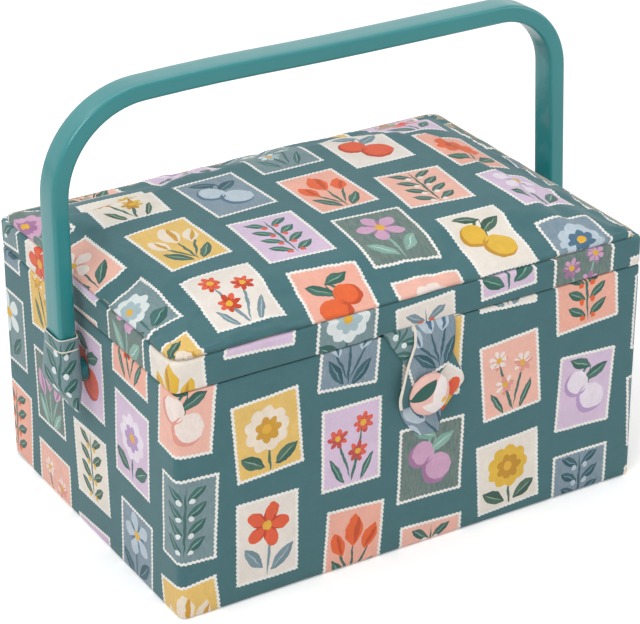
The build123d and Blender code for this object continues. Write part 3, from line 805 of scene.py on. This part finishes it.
def crowned_pad(size, corner, rise, shoulders, side, squares):
    """A closed pad on z = 0. The shoulders are for its left, right, front and back."""
    half = Vector((size[0] / 2, size[1] / 2))
    core = half - Vector((corner, corner))

    def with_slope(at, side_off):
        """How far along the cloth a point lies, with the length of the slope at the edge."""
        return at + copysign(rise * 0.3 * exp(-side_off / (0.3 * rise)), at)

    def place(x, y):
        tx, ty = 2 * x, 2 * y
        x, y = half.x * (1.3 * tx - 0.3 * tx ** 3), half.y * (1.3 * ty - 0.3 * ty ** 3)
        over_x, over_y = abs(x) - core.x, abs(y) - core.y
        if over_x > 0 and over_y > 0:
            scale = max(over_x, over_y) / hypot(over_x, over_y)
            x, y = copysign(core.x + over_x * scale, x), copysign(core.y + over_y * scale, y)
        over_x, over_y = max(0, abs(x) - core.x), max(0, abs(y) - core.y)
        side_x, side_y = half.x - abs(x), half.y - abs(y)
        by_x, by_y = shoulders[x > 0], shoulders[2 + (y > 0)]
        heights = [by_x(side_x), by_y(side_y)]
        if over_x or over_y:
            edge = corner - hypot(over_x, over_y)
            turn = over_x ** 2 / (over_x ** 2 + over_y ** 2)
            heights.append(by_x(edge) * turn + by_y(edge) * (1 - turn))
        else:
            heights.append(min(heights))
        crown = rise * (3 / sum(height ** -6 for height in heights)) ** (1 / 6)
        drawn_down = 0.6 * exp(-min(half.x - x, half.y - y) / (15 * MM))
        return ((x, y, side * (1 - drawn_down) + crown), with_slope(x, side_x),
                with_slope(y, side_y))

    shape = laid_grid(squares, place)
    around, up = layer_of(shape, "float", "around"), layer_of(shape, "float", "up")
    border, last = open_edges(shape), 1.0
    for height, inset in ((0.75, 0.0), (0.4, 0.2), (0.12, 0.55), (0.0, 1.2)):
        verts, border = extruded(shape, border)
        for vert in verts:
            outward = Vector((vert.co.x / half.x, vert.co.y / half.y, 0)).normalized()
            vert.co.x -= copysign(inset * MM * 0.6, vert.co.x) * abs(outward.x)
            vert.co.y -= copysign(inset * MM * 0.6, vert.co.y) * abs(outward.y)
            vert.co.z *= height / last
            vert[around] += outward.x * side * 0.4
            vert[up] += outward.y * side * 0.4
        last = height
    bmesh.ops.edgeloop_fill(shape, edges=border)
    bmesh.ops.recalc_face_normals(shape, faces=shape.faces)
    return shape


# %% Cloth that swells, and is then kept
def swell_cloth(piece, held, frames, pressure, slack, cap):
    """Runs Blender's cloth on a piece, held where held(co) says, then keeps what it reached."""
    rest = [v.co.copy() for v in piece.data.vertices]
    pins = piece.vertex_groups.new(name="held")
    pins.add([i for i, co in enumerate(rest) if held(co)], 1.0, "REPLACE")
    cloth = piece.modifiers.new("swell", "CLOTH")
    settings = cloth.settings
    settings.quality, settings.mass, settings.air_damping = 6, 0.15, 3.0
    settings.tension_stiffness = settings.compression_stiffness = 18
    settings.shear_stiffness, settings.bending_stiffness = 8, 0.4
    settings.vertex_group_mass = "held"
    settings.use_pressure, settings.uniform_pressure_force = True, pressure
    settings.shrink_min = -slack
    settings.effector_weights.gravity = 0
    cloth.collision_settings.use_self_collision = False
    cloth.point_cache.frame_start, cloth.point_cache.frame_end = 1, frames
    for number in range(1, frames + 1):
        bpy.context.scene.frame_set(number)
    made = piece.evaluated_get(bpy.context.evaluated_depsgraph_get()).data
    reached = [v.co.copy() for v in made.vertices]
    piece.modifiers.remove(cloth)
    piece.vertex_groups.remove(pins)
    bpy.context.scene.frame_set(1)
    farthest = 0.0
    for vert, start, end in zip(piece.data.vertices, rest, reached):
        move = end - start
        farthest = max(farthest, move.length)
        vert.co = start + move * min(1.0, cap / max(move.length, 1e-9))
    print(piece.name, "swelled up to", round(farthest / MM, 2), "mm")


# %% The padded top
PAD, PAD_CORNER, PAD_RISE = (257 * MM, 182 * MM), 7 * MM, 12.6 * MM
PAD_LOW, PAD_SIDE = 135.05 * MM, 1.6 * MM
PAD_SHOULDERS = [firm_shoulder(74 * MM), soft_shoulder(40 * MM),
                 firm_shoulder(74 * MM), soft_shoulder(45 * MM)]
shape = crowned_pad(PAD, PAD_CORNER, PAD_RISE, PAD_SHOULDERS, PAD_SIDE, (112, 80))
rumple(shape, 0.5 * MM, 60, 3.0, lambda co: exp(-max(0.0, co.z - PAD_SIDE) / (5 * MM)))
bmesh.ops.translate(shape, vec=(0, 0, PAD_LOW), verts=shape.verts)
map_cloth(shape, (0.196, 0.548))
padded_top = make_piece("padded_top", shape, [print_cloth],
                        ["pad_cover", "pad_foam"], crisp=70)
swell_cloth(padded_top, lambda co: co.z < PAD_LOW + 1.7 * MM, 14, 0.35, 0.016, 2.2 * MM)
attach(padded_top, "lid")

# %% [markdown]
# ## The cloth hinge
# A strip of the same print is glued to the back of base and lid, with a slight bulge along its
# middle, where the box opens. It lies in a shallow recess of both covers.

# %% Hinge strip
STRIP_HALF, STRIP_LOW, STRIP_WIDE, PARTING = 125.9 * MM, 109.8 * MM, 20 * MM, 119.8 * MM


def strip_place(x, y):
    z = (y + 0.5) * STRIP_WIDE + STRIP_LOW
    bulge = 0.35 * MM * exp(-((z - PARTING) / (1.6 * MM)) ** 2)
    x *= 2 * STRIP_HALF
    return (x, -FRONT - 0.75 * MM + bulge, z), -x, z


shape = laid_grid((72, 20), strip_place)
face_outward(shape, (0, -FRONT, 119 * MM), (0, 1, 0))
map_cloth(shape, (0.37, 0.2))
hinge_cloth = make_piece("hinge_cloth", shape, [print_cloth], ["hinge_strip"],
                         wall=(CLOTH, 1, 0))
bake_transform(hinge_cloth)

# %% [markdown]
# ## The ribbon loop
# The closure is one flat tape of printed cloth, folded into a loop with a mitred tip. Both its
# ends are glued inside the lid, and it crosses itself below the lid before it slips over the
# button. Each visible length is a grid laid between the two edges the eye sees, and the opening
# for the button's shank is cut through them.

# %% Lengths of tape
SHANK, OPENING = (4.0 * MM, 84.5 * MM), (3.6 * MM, 9.0 * MM)
SELVEDGE_WIDE = 1.75


def along_edge(points, share):
    """A point on a smooth line through the given ones."""
    run = share * (len(points) - 1)
    first = min(int(run), len(points) - 2)
    t = run - first
    a, b, c, d = [Vector(points[max(0, min(len(points) - 1, first + k))]) for k in (-1, 0, 1, 2)]
    return ((b * 2) + (c - a) * t + (a * 2 - b * 5 + c * 4 - d) * t * t
            + (b * 3 - a - c * 3 + d) * t ** 3) / 2


def rise_and_fall(z, middle, reach):
    return exp(-((z - middle) / reach) ** 2)


def tape(name, left_edge, right_edge, layer_y, lift, map_turn, map_start, selvedge, replaces=()):
    """A length of tape between two edges drawn in the front view, in millimetres."""
    def place(x, y):
        share, down = (x + 0.5) ** 1.5, 0.5 - y
        left, right = along_edge(left_edge, down), along_edge(right_edge, down)
        x, z = left * (1 - share) + right * share
        inward = (right - left).length * share
        roll = selvedge * (0.40 * rise_and_fall(inward, 0.8, 0.55)
                           - 0.22 * rise_and_fall(inward, 1.8, 0.4))
        under = min(1.0, max(0.0, (z - 118.9) / 2.4))
        tucked = 1.6 * under * under * (3 - 2 * under)
        wave = 0.07 * noise.noise(Vector((x, z, layer_y)) * 0.11)
        return (Vector((x, layer_y - lift(x, z) - roll - wave + tucked, z)) * MM,
                (x * cos(map_turn) + z * sin(map_turn)) * MM,
                (z * cos(map_turn) - x * sin(map_turn)) * MM, inward)

    shape = laid_grid((22, 44), place, ("around", "up", "from left"))
    from_left = layer_of(shape, "float", "from left")
    for way in (-1, 1):
        for axis, normal in enumerate(((1, 0, 0), (0, 0, 1))):
            cut = SHANK[axis] + way * OPENING[axis]
            bmesh.ops.bisect_plane(shape, geom=shape.verts[:] + shape.edges[:] + shape.faces[:],
                                   dist=1e-6, plane_co=Vector(normal) * cut, plane_no=normal)
    inside = [f for f in shape.faces if abs(f.calc_center_median().x - SHANK[0]) < OPENING[0]
              and abs(f.calc_center_median().z - SHANK[1]) < OPENING[1]]
    bmesh.ops.delete(shape, geom=inside, context="FACES")
    face_outward(shape, (0, layer_y * MM, 95 * MM), (0, -1, 0))
    map_cloth(shape, map_start)
    for face in shape.faces:
        if selvedge and max(vert[from_left] for vert in face.verts) < SELVEDGE_WIDE:
            face.material_index = 1
    piece = make_piece(name, shape, [print_cloth, edge_cloth], replaces,
                       wall=(0.33 * MM, 1, 0))
    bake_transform(piece)
    area = sum(face.area for face in piece.data.polygons)
    print(name, "cloth", round(area * 1e6), "square millimetres")
    return piece


# %% The loop's three visible lengths
def left_edge_off(x, z):
    """The tape's left edge stands off the box between the lid and the button."""
    return 2.4 * rise_and_fall(z, 95, 15) * max(0.0, min(1.0, (-1 - x) / 10))


def corner_off(x, z):
    return 0.5 * rise_and_fall(z, 88, 10) * max(0.0, min(1.0, (x - 16) / 8))


tip = tape("ribbon_tip", [(-11.6, 81), (-9.4, 74), (-6.1, 68.5), (0.2, 61.5)],
           [(10, 84), (12.4, 77), (12.5, 70), (11.5, 61)], -92.75, lambda x, z: 0.0, radians(40),
           (0.2002, 0.0940), 0)
behind = tape("ribbon_behind",
              [(-20.5, 121.5), (-14.8, 112), (-9.1, 103.3), (-3, 94), (2, 86.6), (3, 82),
               (3.5, 78)],
              [(5.8, 121.5), (12, 112), (17.5, 103.5), (21.5, 95), (24.9, 86.1), (20.3, 80.5),
               (13.5, 72)],
              -93.12, corner_off, radians(-38), (0.1928, -0.0964), 0)
front = tape("ribbon_front",
             [(-4.1, 121.5), (-3.9, 113), (-5.2, 108.9), (-9.5, 99.6), (-12, 91), (-12.8, 85),
              (-11.8, 79.5)],
             [(18.9, 121.5), (19.3, 113.8), (18.6, 104.5), (15, 97), (10.5, 92), (8.5, 86),
              (7.5, 80)],
             -93.58, left_edge_off, radians(14), (0.2136, 0.0339), 1, ["latch_loop"])

# %% The tape's glued end, turned up inside the lid's front board
GLUED_END = [(-92.1, 120.5), (-90.6, 120.45), (-89.1, 120.45), (-87.9, 120.6), (-87.45, 121.2),
             (-87.35, 122.5), (-87.35, 124.0), (-87.35, 125.8), (-87.35, 127.4)]
GLUED_WIDE = 37.6


def glued_place(x, y):
    number = round((y + 0.5) * (len(GLUED_END) - 1))
    across = x * GLUED_WIDE
    return Vector((4 + across, *GLUED_END[number])) * MM, across * MM, number * 1.5 * MM


shape = laid_grid((19, len(GLUED_END) - 1), glued_place)
face_outward(shape, (4 * MM, -90 * MM, 120.45 * MM), (0, 0, -1))
map_cloth(shape, (0.131, 0.117))
glued_end = make_piece("ribbon_glued_end", shape, [print_cloth, edge_cloth],
                       ["latch_anchor"], "lid", wall=(0.8 * MM, 0, 1))

# %% [markdown]
# ## The covered button
# Cloth is drawn over a metal dome and tucked under it. A half outline, spun round the button's
# axis, gives the dome and its rolled edge in one go.

# %% Button
BUTTON = Vector((4.0 * MM, -94.62 * MM, 84.5 * MM))
BUTTON_OUTLINE = [  # distance from the axis, distance out from the box
    (9.6, 0.1), (10.4, 0.0), (10.9, 0.5), (11.05, 1.2), (10.8, 1.9), (10.0, 2.7), (8.4, 3.8),
    (6.4, 4.7), (4.2, 5.3), (2.0, 5.65), (0.0, 5.75)]
TUCKED_FROM = 8 * MM
shape = bmesh.new()
points = [shape.verts.new((BUTTON.x + r * MM, BUTTON.y - out * MM, BUTTON.z))
          for r, out in BUTTON_OUTLINE]
edges = [shape.edges.new(pair) for pair in zip(points, points[1:])]
bmesh.ops.spin(shape, geom=points + edges, cent=BUTTON, axis=(0, 1, 0), angle=2 * pi, steps=56,
               use_merge=True)
bmesh.ops.remove_doubles(shape, verts=shape.verts, dist=0.01 * MM)
bmesh.ops.edgeloop_fill(shape, edges=open_edges(shape))
for vert in shape.verts:
    out = vert.co - BUTTON
    bearing, ring = atan2(out.z, out.x), hypot(out.x, out.z)
    if ring > TUCKED_FROM:
        depth = 0.10 * MM * (ring / MM - TUCKED_FROM / MM) / 3
        tuck = sin(19 * bearing + 2 * sin(3 * bearing)) * depth
        vert.co += Vector((out.x, 0, out.z)).normalized() * tuck
face_outward(shape, BUTTON + Vector((0, -6 * MM, 0)), (0, -1, 0))
cloth_map = shape.loops.layers.uv.new("cloth")
for face in shape.faces:
    for loop in face.loops:
        loop[cloth_map].uv = (loop.vert.co.x - BUTTON.x, loop.vert.co.z - BUTTON.z)
make_piece("covered_button", shape, [button_cloth], ["button_shell"], "box")

# %% [markdown]
# ## The handle
# The handle is one bar of moulded plastic, bent twice. A rounded section is extruded up one leg,
# spun round each bend and extruded on, which keeps its edges even all the way. On the real one
# the left bend is wider than the right one and the bar arches a little, so both are made so here.

# %% Handle bar
PIVOT_Z, LEG_X = 92.0 * MM, 141.1 * MM
SPLAY, LEAN = radians(1.0), radians(1.7)
HANDLE_RISE = 133.6 * MM / cos(LEAN)
BENDS = (46.0 * MM, 34.0 * MM)
BAR = (8.8 * MM, 15.0 * MM)
ARCH, ARCH_MIDDLE, ARCH_REACH = 1.3 * MM, -58 * MM, 48 * MM
FOOT = 0.5 * MM
handle_space = Matrix(((1, 0, 0, 0), (0, sin(LEAN), -cos(LEAN), 0),
                       (0, cos(LEAN), sin(LEAN), PIVOT_Z), (0, 0, 0, 1)))
leg_way = Vector((sin(SPLAY), cos(SPLAY), 0))
side_way = Vector((cos(SPLAY), -sin(SPLAY), 0))
turn_angle = pi / 2 - SPLAY
tangents = [bend * tan(turn_angle / 2) for bend in BENDS]
leg_runs = [HANDLE_RISE / cos(SPLAY) - tangent for tangent in tangents]
bar_run = 2 * (LEG_X - HANDLE_RISE * tan(SPLAY)) - sum(tangents)
left_centre, right_centre = [Vector((-LEG_X, 0, 0)) + leg_way * run + side_way * bend
                             for run, bend in zip(leg_runs, BENDS)]
right_centre.x *= -1

shape = rounded_rectangle(*BAR, 1.7 * MM, 5)
bmesh.ops.subdivide_edges(shape, edges=[e for e in shape.edges if e.calc_length() > 3 * MM],
                          cuts=2)
for angle, axis in ((-pi / 2, "X"), (-SPLAY, "Z")):
    bmesh.ops.rotate(shape, verts=shape.verts, cent=(0, 0, 0),
                     matrix=Matrix.Rotation(angle, 3, axis))
bmesh.ops.translate(shape, verts=shape.verts, vec=Vector((-LEG_X, 0, 0)) - leg_way * FOOT)


def pushed(ring, way, length, steps):
    for _ in range(steps):
        verts, ring = extruded(shape, ring)
        bmesh.ops.translate(shape, verts=verts, vec=way * length / steps)
    return ring


def bent(ring, centre):
    made = bmesh.ops.spin(shape, geom=ring, cent=centre, axis=(0, 0, 1), angle=-turn_angle,
                          steps=18)
    return [part for part in made["geom_last"] if isinstance(part, bmesh.types.BMEdge)]


ring = pushed(shape.edges[:], leg_way, leg_runs[0] + FOOT, 4)
ring = bent(ring, left_centre)
ring = pushed(ring, Vector((1, 0, 0)), bar_run, 10)
ring = bent(ring, right_centre)
pushed(ring, Vector((sin(SPLAY), -cos(SPLAY), 0)), leg_runs[1] + FOOT, 4)
bmesh.ops.edgeloop_fill(shape, edges=open_edges(shape))
bmesh.ops.remove_doubles(shape, verts=shape.verts, dist=0.005 * MM)
for vert in shape.verts:
    near_bar = min(1.0, max(0.0, vert.co.y / MM - 95) / 30)
    vert.co.y += ARCH * near_bar * exp(-((vert.co.x - ARCH_MIDDLE) / ARCH_REACH) ** 2)
bmesh.ops.transform(shape, matrix=handle_space, verts=shape.verts)

# %% Handle eyes and bosses, joined to the bar
ENDS = ((7.5 * MM, LEG_X - BAR[0] / 2, LEG_X + BAR[0] / 2), (6.0 * MM, 130.35 * MM, LEG_X - 3 * MM))
for facing in (-1, 1):
    for radius, start, end in ENDS:
        made = bmesh.ops.create_cone(shape, cap_ends=True, segments=40, radius1=radius,
                                     radius2=radius, depth=end - start)["verts"]
        bmesh.ops.rotate(shape, verts=made, cent=(0, 0, 0), matrix=Matrix.Rotation(pi / 2, 3, "Y"))
        bmesh.ops.translate(shape, verts=made, vec=(facing * (start + end) / 2, 0, PIVOT_Z))
        rims = [e for e in dict.fromkeys(e for v in made for e in v.link_edges)
                if sorted(len(f.verts) > 4 for f in e.link_faces) == [False, True]]
        bmesh.ops.bevel(shape, geom=rims, offset=0.6 * MM, offset_type="OFFSET", segments=2,
                        profile=0.5, affect="EDGES", material=-1)
bmesh.ops.recalc_face_normals(shape, faces=shape.faces)
make_piece("handle_bar", shape, [handle_plastic], ["handle"], "handle", crisp=50)

# %% [markdown]
# ## The cloth sleeves
# Each end of the handle is dressed in a tube of print that hides the rivet: snug at its mouth,
# wider and flat at its stitched bottom. It is a ring of points that changes from a flat oval to
# the leg's own section on its way up, and then turns in as a hem.

# %% Sleeves
SLEEVE_RINGS = [  # height, middle, half thickness, half width, squareness
    (78.6, 141.1, 0.9, 16.9, 2.6), (80.2, 141.2, 1.4, 16.8, 2.6), (82.5, 141.4, 2.6, 16.2, 2.6),
    (85.5, 141.7, 4.7, 15.2, 2.8), (89.0, 141.9, 6.3, 14.2, 3.0), (92.5, 141.9, 6.6, 13.2, 3.2),
    (97.0, 141.6, 6.5, 12.0, 3.4), (102.0, 141.2, 6.2, 10.9, 3.8), (106.8, 140.95, 6.0, 10.0, 4.2),
    (107.6, 140.9, 5.75, 9.75, 4.2), (108.4, 140.88, 5.95, 9.85, 4.2),
    (112.6, 140.75, 5.85, 9.4, 4.6), (113.6, 140.72, 5.7, 9.3, 4.6), (114.0, 140.72, 5.4, 9.0, 4.6),
    (113.6, 140.72, 5.1, 8.65, 4.6), (108.0, 140.8, 5.1, 8.6, 4.6)]
HEM_LINE, MOUTH = (107.6, 108.4), 113.3


def sleeve_place(facing, z, middle, half_thick, half_wide, square):
    lean = tan(LEAN) * max(0.0, z - PIVOT_Z / MM)

    def place(home):
        c, s = home.x, home.y
        length = (abs(c) ** square + abs(s) ** square) ** (-1 / square)
        fold = 0.5 * sin(5 * atan2(s, c) + facing) * max(0.0, (100 - z) / 22)
        return Vector((facing * middle + half_thick * c * length, half_wide * s * length
                       * (1 + 0.02 * fold) + lean, z)) * MM
    return place


def sleeve(facing, side):
    shape = bmesh.new()
    bmesh.ops.create_circle(shape, segments=56, radius=1.0)
    home, around = layer_of(shape, "float_vector", "home"), layer_of(shape, "float", "around")
    for vert in shape.verts:
        vert[home] = vert.co
        vert[around] = atan2(vert.co.x, -vert.co.y) * 9.5 * MM
    bottom = shape.edges[:]
    steps = [abs(b[0] - a[0]) * MM for a, b in zip(SLEEVE_RINGS, SLEEVE_RINGS[1:])]
    grow_skin(shape, [sleeve_place(facing, *ring) for ring in SLEEVE_RINGS], steps)
    bmesh.ops.edgeloop_fill(shape, edges=bottom)
    face_outward(shape, (facing * 148 * MM, 0, 96 * MM), (facing, 0, 0))
    rumple(shape, 0.45 * MM, 110, 4.0 + facing,
           lambda co: min(1.0, max(0.0, (112 * MM - co.z) / (8 * MM))))
    map_cloth(shape, (0.2205 + 0.1 * facing, -0.031))
    for face in shape.faces:
        height = face.calc_center_median().z / MM
        if height > MOUTH or HEM_LINE[0] < height < HEM_LINE[1] and len(face.verts) == 4:
            face.material_index = 1
    piece = make_piece(f"sleeve_cloth_{side}", shape, [print_cloth, edge_cloth],
                       [f"sleeve_{side}"], "handle", wall=(0.35 * MM, -1, 0))


sleeve(-1, "left")
sleeve(1, "right")

# %% [markdown]
# ## Quilted lining
# The floor and the lid are lined with quilted cloth, stitched in diamonds. The stitch lines are
# where two slanted waves pass through zero, and the cloth rises between them.

# %% Quilted panels
def quilt_rise(x, y):
    a, b = (x + y) / sqrt(2) / MM, (x - y) / sqrt(2) / MM
    return (abs(sin(pi * a / QUILT_MM)) * abs(sin(pi * b / QUILT_MM))) ** 0.42


def quilted_panel(name, size, thickness, back_z, way, body, node):
    def place(x, y):
        x, y = x * size[0], y * size[1]
        edge = min(size[0] / 2 - abs(x), size[1] / 2 - abs(y))
        rolled = sqrt(max(0.0, 1 - (1 - min(1.0, edge / (1.8 * MM))) ** 2))
        rise = thickness * (0.35 + 0.65 * quilt_rise(x, y)) * (0.3 + 0.7 * rolled)
        return (x, y, back_z + way * rise), x, y

    shape = laid_grid([ceil(length / (1.7 * MM)) for length in size], place)
    verts, _ = extruded(shape, open_edges(shape))
    for vert in verts:
        vert.co.z = back_z
    bmesh.ops.edgeloop_fill(shape, edges=open_edges(shape))
    face_outward(shape, (0, 0, back_z + way * thickness), (0, 0, way))
    map_cloth(shape)
    piece = make_piece(name, shape, [lining_cloth], [node], body, crisp=70)


quilted_panel("quilted_floor", (243.6 * MM, 168.6 * MM), 3.0 * MM, 4.45 * MM, 1, "box",
              "floor_pad")
quilted_panel("quilted_lid_lining", (249.6 * MM, 174.6 * MM), 2.2 * MM, 131.65 * MM, -1, "lid",
              "lid_lining")

# %% [markdown]
# ## Pocket, elastic and pincushion
# Inside the lid a pocket is gathered on an elastic, and a small stuffed cushion holds pins. The
# pocket is a sheet cut wider than its place, so it ripples; the cushion is the crowned pad again.

# %% Gathered pocket
POCKET_X, POCKET_HALF, POCKET_Y = 38 * MM, 75 * MM, (-46 * MM, 46 * MM)
POCKET_BACK, GATHER = 129.35 * MM, 1.15 * MM


def gathers(x, y):
    mouth = 1 - (y - POCKET_Y[0]) / (POCKET_Y[1] - POCKET_Y[0])
    drift = noise.noise(Vector((x * 40, y * 12, 2.0))) * 2.0
    return (0.35 + 0.65 * mouth ** 1.5) * (0.5 + 0.5 * sin(x / GATHER + drift))


def pocket_place(x, y):
    x, y = x * 2 * POCKET_HALF, y * 92 * MM
    edge = min(1.0, (POCKET_HALF - abs(x)) / (4 * MM), (POCKET_Y[1] - y) / (4 * MM))
    belly = 0.9 * MM * edge + 1.1 * MM * gathers(x, y) * (0.2 + 0.8 * edge)
    return (POCKET_X + x, y, POCKET_BACK - belly), x * 1.2, y


shape = laid_grid((220, 40), pocket_place)
face_outward(shape, (POCKET_X, 0, POCKET_BACK), (0, 0, -1))
map_cloth(shape)
pocket = make_piece("gathered_pocket", shape, [pocket_cloth], ["lid_pocket"], "lid",
                    wall=(0.3 * MM, -1, 0))


# %% Elastic band
def band_place(x, y):
    x *= 2 * POCKET_HALF
    crown = 1 - (2 * y) ** 4
    pucker = 0.25 * MM * sin(x / GATHER)
    z = POCKET_BACK - 2.15 * MM - 0.55 * MM * crown - pucker
    return (POCKET_X + x, POCKET_Y[0] + 4 * MM + y * 8.2 * MM, z), x * 1.1, y * 8 * MM


shape = laid_grid((220, 10), band_place)
face_outward(shape, (POCKET_X, POCKET_Y[0], POCKET_BACK - 3 * MM), (0, 0, -1))
map_cloth(shape)
band = make_piece("elastic_band", shape, [ribbed_elastic], ["pocket_elastic"], "lid",
                  wall=(0.8 * MM, -1, 0))

# %% Pincushion
CUSHION, CUSHION_PLACE, CUSHION_SIDE = (56 * MM, 84 * MM), (-82 * MM, 0, 129.45 * MM), 0.9 * MM
shape = crowned_pad(CUSHION, 18 * MM, 5.6 * MM, [firm_shoulder(26 * MM)] * 4, CUSHION_SIDE,
                    (44, 60))
rumple(shape, 0.4 * MM, 120, 9.0, lambda co: exp(-max(0.0, co.z - CUSHION_SIDE) / (3 * MM)))
bmesh.ops.transform(shape, matrix=Matrix.Rotation(pi, 4, "X"), verts=shape.verts)
bmesh.ops.translate(shape, vec=CUSHION_PLACE, verts=shape.verts)
map_cloth(shape)
cushion = make_piece("pincushion_pad", shape, [cushion_cloth], ["pincushion"],
                     crisp=70)
swell_cloth(cushion, lambda co: co.z > 128.4 * MM, 10, 0.6, 0.02, 1.0 * MM)
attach(cushion, "lid")

# %% [markdown]
# ## Finishes for the pieces whose solids stay
# Boards, washers, rivets, the tray and the lined walls already have the right shape, so they only
# take a finish.

# %% Dress the measured pieces
KEPT = {
    grey_card: [f"base_{side}_board" for side in ("bottom", *SIDES)]
    + [f"lid_{side}_board" for side in ("top", *SIDES)] + ["pad_board"],
    dark_paper: ["base_underside"],
    lining_flat: [f"ledge_{side}_panel" for side in SIDES],
    tray_plastic: ["tray"],
    steel_finish: ["button_shank", "button_washer", "handle_rivet_left", "handle_rivet_right",
                   "rivet_washer_left", "rivet_washer_right"],
    foam_finish: ["pad_foam"],
}
for finish, names in KEPT.items():
    for name in names:
        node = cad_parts[name]
        if not node.material_slots:
            node.data.materials.append(finish)
        for place in node.material_slots:
            place.material = finish
print("kept", sum(len(names) for names in KEPT.values()), "solids")
